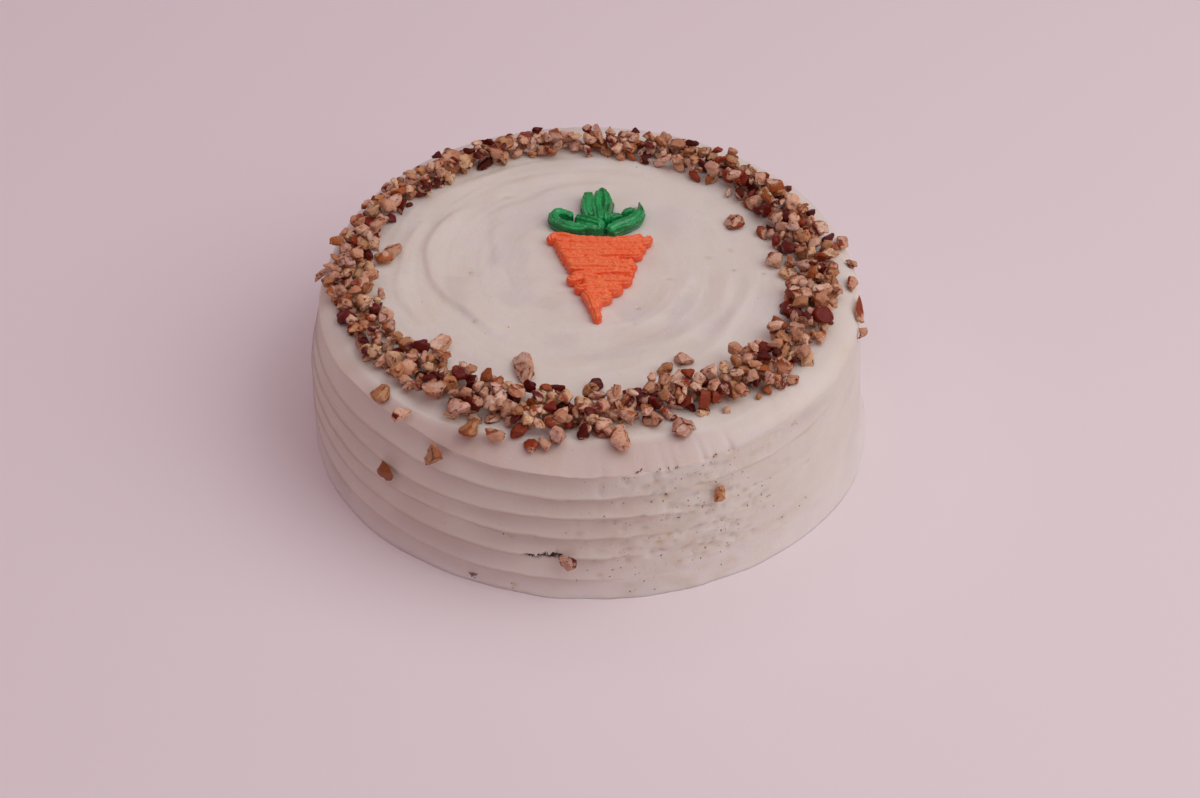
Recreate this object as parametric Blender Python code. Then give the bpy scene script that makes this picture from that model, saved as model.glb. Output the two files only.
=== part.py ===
"""Frosted carrot cake: combed sides, a swirled top, a ring of chopped pecans and a piped carrot.

The cake's axis is +Z through the origin, and its flat base lies on z = 0.  Its front faces -Y.
Angles run counter-clockwise from +X, seen from above.  All sizes are in metres.
"""
import math
import random

import bmesh
import bpy
from mathutils import Euler, Matrix, Vector

MM = 0.001
SEED = 7
GAP = 0.3 * MM                     # air left between two pieces that touch

# Frosted body
CAKE_HEIGHT = 68.0 * MM            # base to the plane of the frosted top
BASE_RADIUS = 113.7 * MM           # side, down at the base
RIM_RADIUS = 109.8 * MM            # side, where the shoulder begins
OVAL = 0.6 * MM                    # longer along X and shorter along Y by this much
SHOULDER_RUN = 10.0 * MM           # how far in the rounded shoulder reaches
SHOULDER_DROP = 6.0 * MM           # and how far down
RIM_HEIGHT = CAKE_HEIGHT - SHOULDER_DROP
SHOULDER_START = RIM_RADIUS - SHOULDER_RUN
CAKE_SEGMENTS = 60

# Combed side: crests, with a hollow below each
CREST_HEIGHTS = [z * MM for z in (2.0, 10.0, 20.8, 31.2, 40.7, 51.1, 62.0)]
HOLLOW_DEPTH = 1.3 * MM
HOLLOW_POWER = 0.65                # below 1, so each hollow is deepest close under its crest
HOLLOW_STEPS = (0.3, 0.65)         # rows between two crests, from the upper one down
SMEAR_ANGLE = math.radians(338)    # where a spatula smoothed the combing
SMEAR_WIDTH = math.radians(40)
SMEAR_SHARE = 0.85

# Thin skirt of frosting pushed out over the foot of the side
SKIRT_REACH = 0.3 * MM
SKIRT_EXTRA = 2.9 * MM
SKIRT_ANGLE = math.radians(340)
SKIRT_WIDTH = math.radians(38)

# Swirled top: shallow grooves that wind inwards, off centre
SWIRL_DEPTH = 1.0 * MM
SWIRL_PITCH = 12.0 * MM
SWIRL_INNER = 22.0 * MM
SWIRL_OUTER = 68.0 * MM
SWIRL_SHIFT = 6.0 * MM             # the turns lie this far towards SWIRL_SIDE
SWIRL_SIDE = math.radians(110)
SWIRL_STEP = 3.0 * MM

# Ring of chopped pecans, heaped on the rim of the top
RING_INNER = 79.3 * MM
INNER_SHIFT = 5.6 * MM             # the inner edge lies this far towards INNER_SIDE
INNER_SIDE = math.radians(121)
INNER_OVAL = 2.5 * MM
INNER_OVAL_TURN = math.radians(-23)
RING_OUTER = 99.2 * MM
OUTER_SHIFT = 1.0 * MM
OUTER_SIDE = math.radians(77)
OUTER_OVAL = 3.8 * MM
OUTER_OVAL_TURN = math.radians(12)
# Where an edge of the heap bulges outwards or gives way: angle, spread (degrees) and mm
INNER_BULGES = [
    (40, 8, 2.0), (62, 8, -1.2), (210, 7, 1.6), (222, 7, -2.4), (240, 7, 1.6), (292, 9, -1.6),
    (330, 7, 2.0),
]
OUTER_BULGES = [
    (65, 12, 1.0), (90, 8, -1.0), (115, 10, -1.2), (140, 8, 1.4), (203, 9, -2.3), (235, 7, 1.6),
    (262, 7, 4.0), (278, 7, -2.3), (291, 6, -2.4), (303, 6, 1.6), (320, 7, 1.0),
]
RING_HEIGHT = 6.6 * MM
RING_PROFILE = ((0.0, 0.35), (0.22, 0.95), (0.5, 1.0), (0.78, 0.95), (1.0, 0.35))
RING_RAGGED = 0.9 * MM             # how far each corner of the heap strays
RING_SEGMENTS = 96
RING_GAP = 0.45 * MM

# Piped carrot, laid down as a zigzag of touching strands
CARROT_OUTLINE = [                 # y, left edge, right edge
    (26.6, -16.2, 25.4),
    (20.5, -17.3, 26.2),
    (0.0, -9.3, 18.8),
    (-20.0, -0.9, 6.8),
    (-29.5, 2.6, 6.2),
]
STRAND_PITCH = 3.3                 # mm
STRAND_ROWS = 3
CARROT_COLUMNS = 4
CARROT_HEIGHT = 4.4                # mm, over the strands
VALLEY_DEPTH = 1.1                 # mm, between two strands
EDGE_BULGE = 0.6                   # mm, at the turn of each strand
STRAND_SLANT = 0.45                # mm, rise or fall towards the ends
NOTCH_DEPTH = 1.6                  # mm, dip in the top edge where the leaves start
CARROT_FLAT = 0.86                 # share of the half width that is full height
CARROT_EDGE = ((1.0, 0.0), (1.0, 0.5), (0.93, 0.85))   # share of the half width, and of the height
CARROT_END = 0.6                   # share of the height at the first and last row

# Piped leaves: route in x and y, half widths along it, and height, all in mm
LEAVES = {
    "leaf_left_outer": ([(4.1, 28.7), (-1.5, 29.9), (-8.0, 31.6), (-13.2, 34.9),
                         (-14.6, 38.6), (-12.3, 41.6)], (2.0, 2.6, 2.6, 2.3, 2.1, 1.2), 4.4),
    "leaf_left_inner": ([(4.6, 34.6), (0.4, 35.3), (-3.6, 37.3), (-6.4, 40.4)],
                        (1.3, 2.3, 2.0, 0.7), 5.0),
    "leaf_middle_left": ([(-0.8, 40.8), (-0.8, 45.6), (-0.6, 50.3), (-0.3, 54.8)],
                         (2.0, 2.4, 2.3, 1.5), 4.6),
    "leaf_middle_right": ([(5.0, 39.0), (5.6, 44.4), (5.6, 50.2), (5.0, 57.0)],
                          (2.3, 3.3, 2.9, 0.6), 5.2),
    "leaf_right": ([(9.0, 28.6), (12.8, 32.0), (17.8, 35.8), (20.6, 41.0), (20.6, 47.0)],
                   (1.9, 3.1, 3.2, 2.4, 0.5), 4.6),
    "leaf_right_inner": ([(10.6, 38.0), (12.5, 40.4)], (1.7, 1.1), 3.6),
}
LEAF_SECTIONS = 9
LEAF_PROFILE = ((1.0, 0.0), (1.0, 0.45), (0.72, 0.88), (0.3, 1.0), (0.0, 0.8),
                (-0.3, 1.0), (-0.72, 0.88), (-1.0, 0.45), (-1.0, 0.0))
LEAF_LOW = 0.45                    # share of the height that even the thinnest end keeps
LEAF_FULL = 4.0                    # mm, half width that adds the rest of it
LEAF_TIP = 0.6                     # mm, rounded end beyond the route
LEAF_AHEAD = 0.02                  # share of the route either side that gives its direction

# Pecan pieces that lie apart from the ring: x, y, length, width, height (mm) and turn (degrees)
TOP_STRAYS = [
    (60.4, 34.7, 8.3, 7.5, 4.8, 5),
    (-23.9, -59.8, 16.5, 7.4, 6.0, 108),
    (3.4, -67.1, 5.4, 5.4, 3.6, 10),
    (29.9, -57.0, 8.1, 5.6, 4.6, 20),
    (38.1, -52.2, 7.5, 6.4, 4.2, 10),
    (-42.6, -93.6, 10.6, 7.4, 4.8, 35),
    (-34.0, -96.4, 8.0, 5.8, 4.2, -20),
    (13.7, -97.6, 10.5, 8.2, 5.8, 70),
    (35.6, -91.4, 9.1, 8.0, 5.4, 25),
]
# The same on the side and shoulder: angle from the front (degrees), height, length, width and
# depth (mm), and lean (degrees) from lying level
SIDE_STRAYS = [
    (-42.7, 38.8, 8.7, 7.4, 3.8, 80),
    (-30.7, 59.2, 12.5, 8.0, 4.4, 80),
    (26.9, 45.0, 6.8, 6.6, 3.2, 100),
    (-2.8, 20.3, 8.6, 6.2, 3.4, 110),
    (-47.3, 67.0, 7.8, 7.2, 4.4, 70),
    (-40.3, 66.0, 7.5, 5.6, 4.0, 80),
    (-90.8, 66.3, 8.9, 3.0, 3.2, -30),
    (103.4, 66.4, 12.4, 5.4, 4.0, -20),
    (96.4, 66.0, 4.8, 4.4, 3.0, 60),
    (89.0, 66.7, 8.8, 4.8, 3.0, -10),
    (81.4, 65.2, 13.2, 4.8, 3.0, 25),
    (78.4, 59.4, 5.6, 4.0, 4.0, 30),
]
STRAY_POINTS = 15
STRAY_SWELL = (0.90, 1.03)         # least and most reach of a corner, as a share of the ellipsoid
STRAY_TWIST = 0.4                  # radians that a corner strays round it
GOLDEN_TURN = math.pi * (3.0 - math.sqrt(5.0))

FROSTING = ("frosting", (0.72, 0.62, 0.52, 1.0), 0.55)
PECAN = ("chopped_pecan", (0.24, 0.11, 0.06, 1.0), 0.60)
ORANGE_ICING = ("orange_icing", (0.74, 0.11, 0.03, 1.0), 0.35)
GREEN_ICING = ("green_icing", (0.01, 0.19, 0.05, 1.0), 0.32)


def clear_scene():
    for item in list(bpy.data.objects):
        bpy.data.objects.remove(item, do_unlink=True)


def material(finish):
    """Plain Principled material of the given name, colour and roughness."""
    name, colour, roughness = finish
    made = bpy.data.materials.get(name) or bpy.data.materials.new(name)
    made.use_nodes = True
    shader = made.node_tree.nodes["Principled BSDF"]
    shader.inputs["Base Color"].default_value = colour
    shader.inputs["Roughness"].default_value = roughness
    shader.inputs["Metallic"].default_value = 0.0
    made.diffuse_color = colour
    return made


def add_object(name, mesh_data, finish):
    """Turn bmesh data into a smooth-shaded object in the scene."""
    bmesh.ops.recalc_face_normals(mesh_data, faces=mesh_data.faces)
    mesh = bpy.data.meshes.new(name)
    mesh_data.to_mesh(mesh)
    mesh_data.free()
    mesh.shade_smooth()
    mesh.materials.append(material(finish))
    made = bpy.data.objects.new(name, mesh)
    bpy.context.scene.collection.objects.link(made)
    return made


def bridge(mesh_data, first, second):
    """Join two closed loops of vertices with a band of quads."""
    count = len(first)
    for index in range(count):
        after = (index + 1) % count
        mesh_data.faces.new((first[index], first[after], second[after], second[index]))


def fan(mesh_data, loop, centre):
    """Close a loop of vertices with triangles that meet at a point."""
    tip = mesh_data.verts.new(centre)
    count = len(loop)
    for index in range(count):
        mesh_data.faces.new((loop[index], loop[(index + 1) % count], tip))


def add_loops(mesh_data, loops):
    """Make each list of points into a loop of vertices, and bridge each loop to the next."""
    made = [[mesh_data.verts.new(point) for point in loop] for loop in loops]
    for first, second in zip(made, made[1:]):
        bridge(mesh_data, first, second)
    return made


def polar(radius, angle, height):
    return Vector((radius * math.cos(angle), radius * math.sin(angle), height))


def turn_between(angle, other):
    """Smallest turn from one angle to another, in radians."""
    return (angle - other + math.pi) % math.tau - math.pi


def bell(angle, centre, width):
    """1 at the centre angle, falling away smoothly to 0 on both sides."""
    return math.exp(-(turn_between(angle, centre) / width) ** 2)


def mix(first, second, share):
    return first + (second - first) * share


# ---------------------------------------------------------------- frosted body

def shoulder_height(radius):
    """Height of the top surface, which rounds over towards the side."""
    if radius <= SHOULDER_START:
        return CAKE_HEIGHT
    share = min((radius - SHOULDER_START) / SHOULDER_RUN, 1.0)
    return CAKE_HEIGHT - SHOULDER_DROP * (1.0 - math.sqrt(1.0 - share * share))


def side_radius(height, angle):
    """Radius of the combed side: full at the crests, less in the hollows below them."""
    plain = mix(BASE_RADIUS, RIM_RADIUS, (height / RIM_HEIGHT) ** 2)
    plain += OVAL * math.cos(2 * angle) * (1.0 - height / RIM_HEIGHT)
    for lower, upper in zip(CREST_HEIGHTS, CREST_HEIGHTS[1:]):
        if lower <= height <= upper:
            share = (upper - height) / (upper - lower)
            hollow = math.sin(math.pi * share ** HOLLOW_POWER)
            strength = 1.0 - SMEAR_SHARE * bell(angle, SMEAR_ANGLE, SMEAR_WIDTH)
            return plain - HOLLOW_DEPTH * hollow * strength
    return plain


def swirl_dip(radius, angle):
    """Depth of the spatula's grooves in the top at a point."""
    if not SWIRL_INNER < radius < SWIRL_OUTER:
        return 0.0
    shifted = radius - SWIRL_SHIFT * math.cos(angle - SWIRL_SIDE)
    turns = (shifted / SWIRL_PITCH + angle / math.tau) % 1.0
    inside = min(radius - SWIRL_INNER, SWIRL_OUTER - radius) / SWIRL_STEP
    return SWIRL_DEPTH * math.sin(math.pi * turns) ** 2 * min(inside, 1.0)


def skirt_radius(angle):
    reach = SKIRT_REACH + SKIRT_EXTRA * bell(angle, SKIRT_ANGLE, SKIRT_WIDTH)
    return side_radius(0.0, angle) + reach


def side_heights():
    """Heights of the rows up the side, each crest and the hollow below it."""
    heights = [CREST_HEIGHTS[0]]
    for lower, upper in zip(CREST_HEIGHTS, CREST_HEIGHTS[1:]):
        heights += [mix(upper, lower, step) for step in reversed(HOLLOW_STEPS)]
        heights.append(upper)
    return heights


def top_radii():
    """Radii of the rows across the top, close together where the swirl lies."""
    radii = [SHOULDER_START + SHOULDER_RUN * math.sin(math.radians(step)) for step in (70, 40)]
    radii += [SHOULDER_START, mix(SHOULDER_START, SWIRL_OUTER, 0.5)]
    count = round((SWIRL_OUTER - SWIRL_INNER) / SWIRL_STEP)
    radii += [mix(SWIRL_OUTER, SWIRL_INNER, index / count) for index in range(count + 1)]
    return radii + [SWIRL_INNER / 2]


def make_cake():
    angles = [math.tau * index / CAKE_SEGMENTS for index in range(CAKE_SEGMENTS)]
    loops = [[polar(skirt_radius(angle), angle, 0.0) for angle in angles]]
    for height in side_heights():
        loops.append([polar(side_radius(height, angle), angle, height) for angle in angles])
    for radius in top_radii():
        loops.append([polar(radius, angle, shoulder_height(radius) - swirl_dip(radius, angle))
                      for angle in angles])
    body = bmesh.new()
    made = add_loops(body, loops)
    fan(body, made[0], (0.0, 0.0, 0.0))
    fan(body, made[-1], (0.0, 0.0, CAKE_HEIGHT))
    return add_object("cake", body, FROSTING)


# ---------------------------------------------------------------- ring of pecans

def bulged(angle, bulges):
    """How far the bulges push an edge outwards at an angle."""
    reach = 0.0
    for centre, spread, out in bulges:
        turn = math.remainder(angle - math.radians(centre), math.tau)
        reach += out * MM * math.exp(-(turn / math.radians(spread)) ** 2)
    return reach


def ring_edges(angle):
    """Inner and outer edge of the heap: off centre, and wider at the sides than at the front."""
    inner = RING_INNER + INNER_SHIFT * math.cos(angle - INNER_SIDE)
    inner += INNER_OVAL * math.cos(2 * angle - INNER_OVAL_TURN) + bulged(angle, INNER_BULGES)
    outer = RING_OUTER + OUTER_SHIFT * math.cos(angle - OUTER_SIDE)
    outer += OUTER_OVAL * math.cos(2 * angle - OUTER_OVAL_TURN) + bulged(angle, OUTER_BULGES)
    return inner, outer


def ring_section(angle, chance):
    """One closed outline across the heap: ragged over the top, and fitted to the cake below."""
    inner, outer = ring_edges(angle)
    inner += chance.uniform(-1, 1) * RING_RAGGED
    outer += chance.uniform(-1, 1) * RING_RAGGED
    section = []
    for share, rise in RING_PROFILE:
        radius = mix(inner, outer, share)
        ragged = chance.uniform(-1, 1) * RING_RAGGED * rise
        height = shoulder_height(radius) + RING_HEIGHT * rise + ragged
        section.append(polar(radius, angle, height))
    flat = min(outer - MM, SHOULDER_START)
    for radius in (outer, flat, inner):
        section.append(polar(radius, angle, shoulder_height(radius) + RING_GAP))
    return section


def make_ring():
    chance = random.Random(SEED)
    loops = [ring_section(math.tau * index / RING_SEGMENTS, chance)
             for index in range(RING_SEGMENTS)]
    heap = bmesh.new()
    made = add_loops(heap, loops)
    bridge(heap, made[-1], made[0])
    return add_object("pecan_ring", heap, PECAN)


# ---------------------------------------------------------------- piped carrot

def carrot_edges(y):
    """Left and right edge of the carrot at a distance along it, in mm."""
    for upper, lower in zip(CARROT_OUTLINE, CARROT_OUTLINE[1:]):
        if y >= lower[0]:
            break
    share = (upper[0] - y) / (upper[0] - lower[0])
    return mix(upper[1], lower[1], share), mix(upper[2], lower[2], share)


def carrot_section(y, strand, wave, end):
    """Closed outline across the carrot.  Wave is 1 along a strand and 0 in the valley below it."""
    left, right = carrot_edges(y)
    bulge = EDGE_BULGE * (2.0 * wave - 1.0)
    left -= bulge
    right += bulge
    height = (CARROT_HEIGHT - VALLEY_DEPTH * (1.0 - wave)) * end
    slant = STRAND_SLANT * (1 if strand % 2 else -1)
    middle = (left + right) / 2
    half = (right - left) / 2
    across = [(-side, rise) for side, rise in CARROT_EDGE]
    across += [(CARROT_FLAT * (2 * column / CARROT_COLUMNS - 1), 1.0)
               for column in range(CARROT_COLUMNS + 1)]
    across += reversed(CARROT_EDGE)
    floor = CAKE_HEIGHT + GAP
    section = []
    for side, rise in across:
        notch = NOTCH_DEPTH * (1.0 - side * side) if y > CARROT_OUTLINE[1][0] else 0.0
        place = Vector((middle + half * side, y + slant * side - notch, height * rise)) * MM
        section.append(place + Vector((0.0, 0.0, floor)))
    return section


def make_carrot():
    top = CARROT_OUTLINE[0][0]
    bottom = CARROT_OUTLINE[-1][0]
    strands = round((top - bottom) / STRAND_PITCH)
    rows = strands * STRAND_ROWS
    loops = []
    for row in range(rows + 1):
        strand, step = divmod(row, STRAND_ROWS)
        wave = math.sin(math.pi * step / STRAND_ROWS)
        end = CARROT_END if row in (0, rows) else 1.0
        loops.append(carrot_section(mix(top, bottom, row / rows), strand, wave, end))
    icing = bmesh.new()
    made = add_loops(icing, loops)
    icing.faces.new(made[0])
    icing.faces.new(made[-1])
    return add_object("carrot_root", icing, ORANGE_ICING)


# ---------------------------------------------------------------- piped leaves

def along(values, share):
    """Point or number at a share of the way along a list, on a smooth curve through them all."""
    last = len(values) - 1
    index = min(int(share * last), last - 1)
    step = share * last - index
    before = values[max(index - 1, 0)]
    start = values[index]
    end = values[index + 1]
    after = values[min(index + 2, last)]
    return (start * 2 + (end - before) * step
            + (before * 2 - start * 5 + end * 4 - after) * step ** 2
            + (start * 3 - before - end * 3 + after) * step ** 3) * 0.5


def leaf_section(route, widths, height, share):
    """Outline across a leaf: flat below, with a crease between two ridges on top."""
    place = along(route, share)
    after = along(route, min(share + LEAF_AHEAD, 1.0))
    ahead = after - along(route, max(share - LEAF_AHEAD, 0.0))
    side = Vector((ahead.y, -ahead.x)).normalized()
    half = along(widths, share)
    rise = height * min(1.0, LEAF_LOW + half / LEAF_FULL)
    section = []
    for across, up in LEAF_PROFILE:
        point = place + side * half * across
        section.append(Vector((point.x, point.y, rise * up)) * MM
                       + Vector((0.0, 0.0, CAKE_HEIGHT + GAP)))
    return section


def make_leaf(name, route, widths, height):
    points = [Vector(point) for point in route]
    loops = [leaf_section(points, widths, height, index / LEAF_SECTIONS)
             for index in range(LEAF_SECTIONS + 1)]
    icing = bmesh.new()
    made = add_loops(icing, loops)
    for loop, inner, outer in ((made[0], points[1], points[0]), (made[-1], points[-2], points[-1])):
        tip = outer + (outer - inner).normalized() * LEAF_TIP
        middle = sum((vert.co.z for vert in loop), 0.0) / len(loop)
        fan(icing, loop, (tip.x * MM, tip.y * MM, middle))
    return add_object(name, icing, GREEN_ICING)


# ---------------------------------------------------------------- stray pecans

def nugget(name, length, width, height, chance):
    """Angular chip of nut about its own centre: the hull of points strewn over an ellipsoid."""
    chip = bmesh.new()
    for index in range(STRAY_POINTS):
        up = 1.0 - 2.0 * (index + 0.5) / STRAY_POINTS
        turn = index * GOLDEN_TURN + chance.uniform(-STRAY_TWIST, STRAY_TWIST)
        flat = math.sqrt(1.0 - up * up)
        swell = chance.uniform(*STRAY_SWELL)
        chip.verts.new(Vector((length * flat * math.cos(turn), width * flat * math.sin(turn),
                               height * up)) * (swell * MM / 2))
    hull = bmesh.ops.convex_hull(chip, input=chip.verts)
    unused = [item for item in hull["geom_interior"] if isinstance(item, bmesh.types.BMVert)]
    bmesh.ops.delete(chip, geom=unused, context="VERTS")
    return add_object(name, chip, PECAN)


def lowest(made):
    """Lowest point of a chip in its own frame."""
    return min(vert.co.z for vert in made.data.vertices)


def side_seat(angle, height, reach):
    """Radius where a chip meets the side or shoulder, and how far its back tips up there."""
    if height <= RIM_HEIGHT:
        levels = [min(max(height + reach * step / 4, 0.0), RIM_HEIGHT) for step in range(-4, 5)]
        return max(side_radius(level, angle) for level in levels), 0.0
    rise = (height - RIM_HEIGHT) / SHOULDER_DROP
    run = math.sqrt(1.0 - rise * rise)
    return SHOULDER_START + SHOULDER_RUN * run, math.atan2(rise / SHOULDER_DROP, run / SHOULDER_RUN)


def make_top_strays(chance):
    for index, (x, y, length, width, height, turn) in enumerate(TOP_STRAYS, start=1):
        made = nugget(f"stray_top_{index}", length, width, height, chance)
        inner = math.hypot(x, y) * MM - length * MM / 2
        made.rotation_euler = Euler((0.0, 0.0, math.radians(turn)))
        made.location = (x * MM, y * MM, shoulder_height(inner) + GAP - lowest(made))


def make_side_strays(chance):
    for index, (front, height, length, width, depth, lean) in enumerate(SIDE_STRAYS, start=1):
        made = nugget(f"stray_side_{index}", length, width, depth, chance)
        angle = math.radians(front - 90)
        radius, tip = side_seat(angle, height * MM, length * MM / 2)
        seat = (Matrix.Rotation(angle, 3, "Z") @ Matrix.Rotation(math.pi / 2 - tip, 3, "Y")
                @ Matrix.Rotation(math.radians(lean + 90), 3, "Z"))
        made.rotation_euler = seat.to_euler()
        outward = seat @ Vector((0.0, 0.0, GAP - lowest(made)))
        made.location = polar(radius, angle, height * MM) + outward


def main():
    clear_scene()
    make_cake()
    make_ring()
    make_carrot()
    for name, (route, widths, height) in LEAVES.items():
        make_leaf(name, route, widths, height)
    chance = random.Random(SEED + 1)
    make_top_strays(chance)
    make_side_strays(chance)


main()
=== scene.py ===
"""Looks of the frosted carrot cake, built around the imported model.

Shapes are worked out in millimetres and turned into metres when a mesh is made.  The cake stands on
z = 0 with its axis on the origin and its front towards -Y.  A "front angle" is measured in degrees
from the front of the cake, positive to the right.
"""

import math

import bmesh
import bpy
import numpy as np
from mathutils import Matrix, Vector


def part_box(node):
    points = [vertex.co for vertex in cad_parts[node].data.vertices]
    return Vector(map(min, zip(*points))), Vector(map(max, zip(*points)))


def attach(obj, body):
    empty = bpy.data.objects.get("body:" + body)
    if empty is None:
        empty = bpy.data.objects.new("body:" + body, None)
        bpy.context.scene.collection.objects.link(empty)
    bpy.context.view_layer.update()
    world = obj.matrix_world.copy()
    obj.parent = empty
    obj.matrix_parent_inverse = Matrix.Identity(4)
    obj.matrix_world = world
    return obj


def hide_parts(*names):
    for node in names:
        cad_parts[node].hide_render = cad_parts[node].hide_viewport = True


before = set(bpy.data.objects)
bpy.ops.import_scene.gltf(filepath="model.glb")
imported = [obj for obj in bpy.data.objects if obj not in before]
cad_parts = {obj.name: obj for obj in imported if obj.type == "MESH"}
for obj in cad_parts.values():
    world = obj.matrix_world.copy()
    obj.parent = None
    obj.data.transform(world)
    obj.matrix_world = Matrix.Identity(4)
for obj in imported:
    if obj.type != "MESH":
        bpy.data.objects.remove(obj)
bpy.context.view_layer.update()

MM = 0.001
SEED = 11

# Frosted body, as in the frame
BASE_RADIUS = 113.7
RIM_RADIUS = 109.8
OVAL = 0.6
CAKE_HEIGHT = 68.0
RIM_HEIGHT = 62.0
SHOULDER_RUN = 10.0
CRESTS = (2.0, 10.0, 20.8, 31.2, 40.7, 51.1, 62.0)
HOLLOW_DEPTH = 2.3
LEDGE_HEIGHT = 14.0                # where the skirt of frosting at the right front starts
SIDE_PER_DEGREE = 1.95             # mm along the side for each degree round the cake
FRONT_DIRECTION = 270              # degrees from +X to the front of the cake
SWIRL_CENTRE = (-2.0, 6.0)
SWIRL_PITCH = 12.5


# ------------ noise and curves

class Noise:
    """Smooth random values over space, about -1 to 1, from a seeded lattice."""

    def __init__(self, seed, size=24):
        self.size = size
        self.table = np.random.RandomState(seed).uniform(-1, 1, (size, size, size))

    def __call__(self, x, y=0.0, z=0.0):
        x, y, z = np.broadcast_arrays(np.asarray(x, float), np.asarray(y, float),
                                      np.asarray(z, float))
        total = np.zeros(x.shape)
        cell = [np.floor(v).astype(int) for v in (x, y, z)]
        part = [v - c for v, c in zip((x, y, z), cell)]
        part = [p * p * (3 - 2 * p) for p in part]
        for corner in range(8):
            step = (corner & 1, corner >> 1 & 1, corner >> 2 & 1)
            weight = 1.0
            for p, s in zip(part, step):
                weight = weight * (p if s else 1 - p)
            index = tuple((c + s) % self.size for c, s in zip(cell, step))
            total += weight * self.table[index]
        return total * 1.6


NOISE = Noise(SEED)
NOISE_B = Noise(SEED + 1)


def smooth_step(value, low, high):
    share = np.clip((np.asarray(value, float) - low) / (high - low), 0, 1)
    return share * share * (3 - 2 * share)


def spline(points, count):
    """Points evenly spread along a smooth curve through the given ones."""
    points = np.asarray(points, float)
    ends = np.vstack([2 * points[0] - points[1], points, 2 * points[-1] - points[-2]])
    dense = []
    for index in range(len(points) - 1):
        a, b, c, d = ends[index:index + 4]
        for t in np.linspace(0, 1, 24, endpoint=False):
            dense.append(0.5 * (2 * b + (c - a) * t + (2 * a - 5 * b + 4 * c - d) * t * t
                                + (3 * b - a - 3 * c + d) * t ** 3))
    dense.append(points[-1])
    dense = np.array(dense)
    run = np.concatenate([[0], np.cumsum(np.linalg.norm(np.diff(dense, axis=0), axis=1))])
    return np.stack([np.interp(np.linspace(0, run[-1], count), run, dense[:, k])
                     for k in range(dense.shape[1])], axis=1)


def line_field(x, y, points):
    """Signed distance to a line (positive to its right) and the share of the way along it."""
    best = np.full(x.shape, 1e9)
    signed = np.zeros(x.shape)
    along = np.zeros(x.shape)
    last = len(points) - 1
    for index in range(last):
        start = points[index]
        step = points[index + 1] - start
        length = np.hypot(*step)
        dx = x - start[0]
        dy = y - start[1]
        share = np.clip((dx * step[0] + dy * step[1]) / length ** 2, 0, 1)
        away = np.hypot(dx - share * step[0], dy - share * step[1])
        cross = (dx * step[1] - dy * step[0]) / length
        near = away < best
        best = np.where(near, away, best)
        signed = np.where(near, np.where(cross >= 0, away, -away), signed)
        along = np.where(near, (index + share) / last, along)
    return signed, along


# ------------ frosting surface

def turn(front, centre):
    """Degrees from one front angle to another, the short way round."""
    return (np.asarray(front, float) - centre + 180) % 360 - 180


def bell(front, centre, width):
    return np.exp(-(turn(front, centre) / width) ** 2)


def front_angle(x, y):
    return np.degrees(np.arctan2(y, x)) - FRONT_DIRECTION


def crest_height(index, front):
    """Height of one crest of the combing, which wanders a little round the cake."""
    wander = sum(size * NOISE(front / spread, index * 3.7, place)
                 for size, spread, place in ((0.75, 21.0, 0.5), (0.32, 5.0, 9.5), (0.14, 1.7, 5.5)))
    height = CRESTS[index] + wander * (0.3 if index == 0 else 1.0)
    if index == len(CRESTS) - 1:
        height = height + 3.0 * smooth_step(-np.asarray(front, float), 27, 38) * bell(front, -60, 42)
    return height


def comb_strength(index, front):
    """How deep the hollow below a crest is: combed at the left, smeared flat at the right."""
    start = (30, 0, 4, 9, 12, 10, 2)[index]
    flat = smooth_step(front, start - 8, start + 9) * (1 - smooth_step(front, 92, 118))
    strength = 1.0 - (0.86 if index == 5 else 1.0) * flat
    strength = strength * (1.0 + 0.22 * NOISE(front / 9.0, index * 2.3, 3.1))
    if index == 1:
        strength = strength * 0.55
    return strength


# Small dents in the side: front angle, height, half width, half height, depth
PIT_SPOTS = [
    (11, 63, 1.5, 0.7, 0.6), (14, 61.5, 1.1, 0.8, 0.7), (18, 62, 1.3, 0.6, 0.6),
    (26, 62, 1.0, 0.7, 0.6), (14, 57, 1.6, 0.8, 0.6), (22, 57, 1.2, 0.7, 0.6),
    (16, 49, 1.1, 1.3, 0.9), (28, 46, 1.2, 0.8, 0.6), (24, 40, 1.8, 0.6, 0.6),
    (33, 40, 1.1, 0.7, 0.6), (6, 38, 1.4, 0.6, 0.6), (16, 38, 1.0, 0.7, 0.6),
    (26, 36, 1.2, 0.8, 0.7), (17, 29, 1.5, 0.6, 0.8), (28, 30, 1.1, 0.7, 0.8),
    (39, 31, 1.5, 0.7, 0.5), (15, 26, 1.6, 0.7, 0.6), (26, 22, 1.0, 0.6, 0.5),
    (-8, 49, 0.9, 0.9, 0.5), (-15, 27, 1.2, 0.7, 0.5), (46, 59, 1.0, 1.3, 0.8),
    (3, 12, 1.2, 0.7, 0.5), (19, 14, 1.2, 0.6, 0.5), (-14, 3, 1.3, 0.8, 0.6),
]
FRONT_PITS = 210
OTHER_PITS = 70


def make_pits():
    """The pits listed, random ones where the right front is smeared, and shallow ones all round."""
    chance = np.random.RandomState(SEED + 2)
    pits = list(PIT_SPOTS)
    for _ in range(FRONT_PITS):
        front = chance.normal(20, 12)
        height = chance.uniform(14, 63)
        pits.append((front, height, chance.uniform(0.8, 2.2), chance.uniform(0.50, 0.90),
                     chance.uniform(0.5, 1.2)))
    for _ in range(OTHER_PITS):
        pits.append((chance.uniform(-180, 180), chance.uniform(6, 63), chance.uniform(0.6, 1.4),
                     chance.uniform(0.45, 0.9), chance.uniform(0.2, 0.45)))
    return pits


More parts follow.
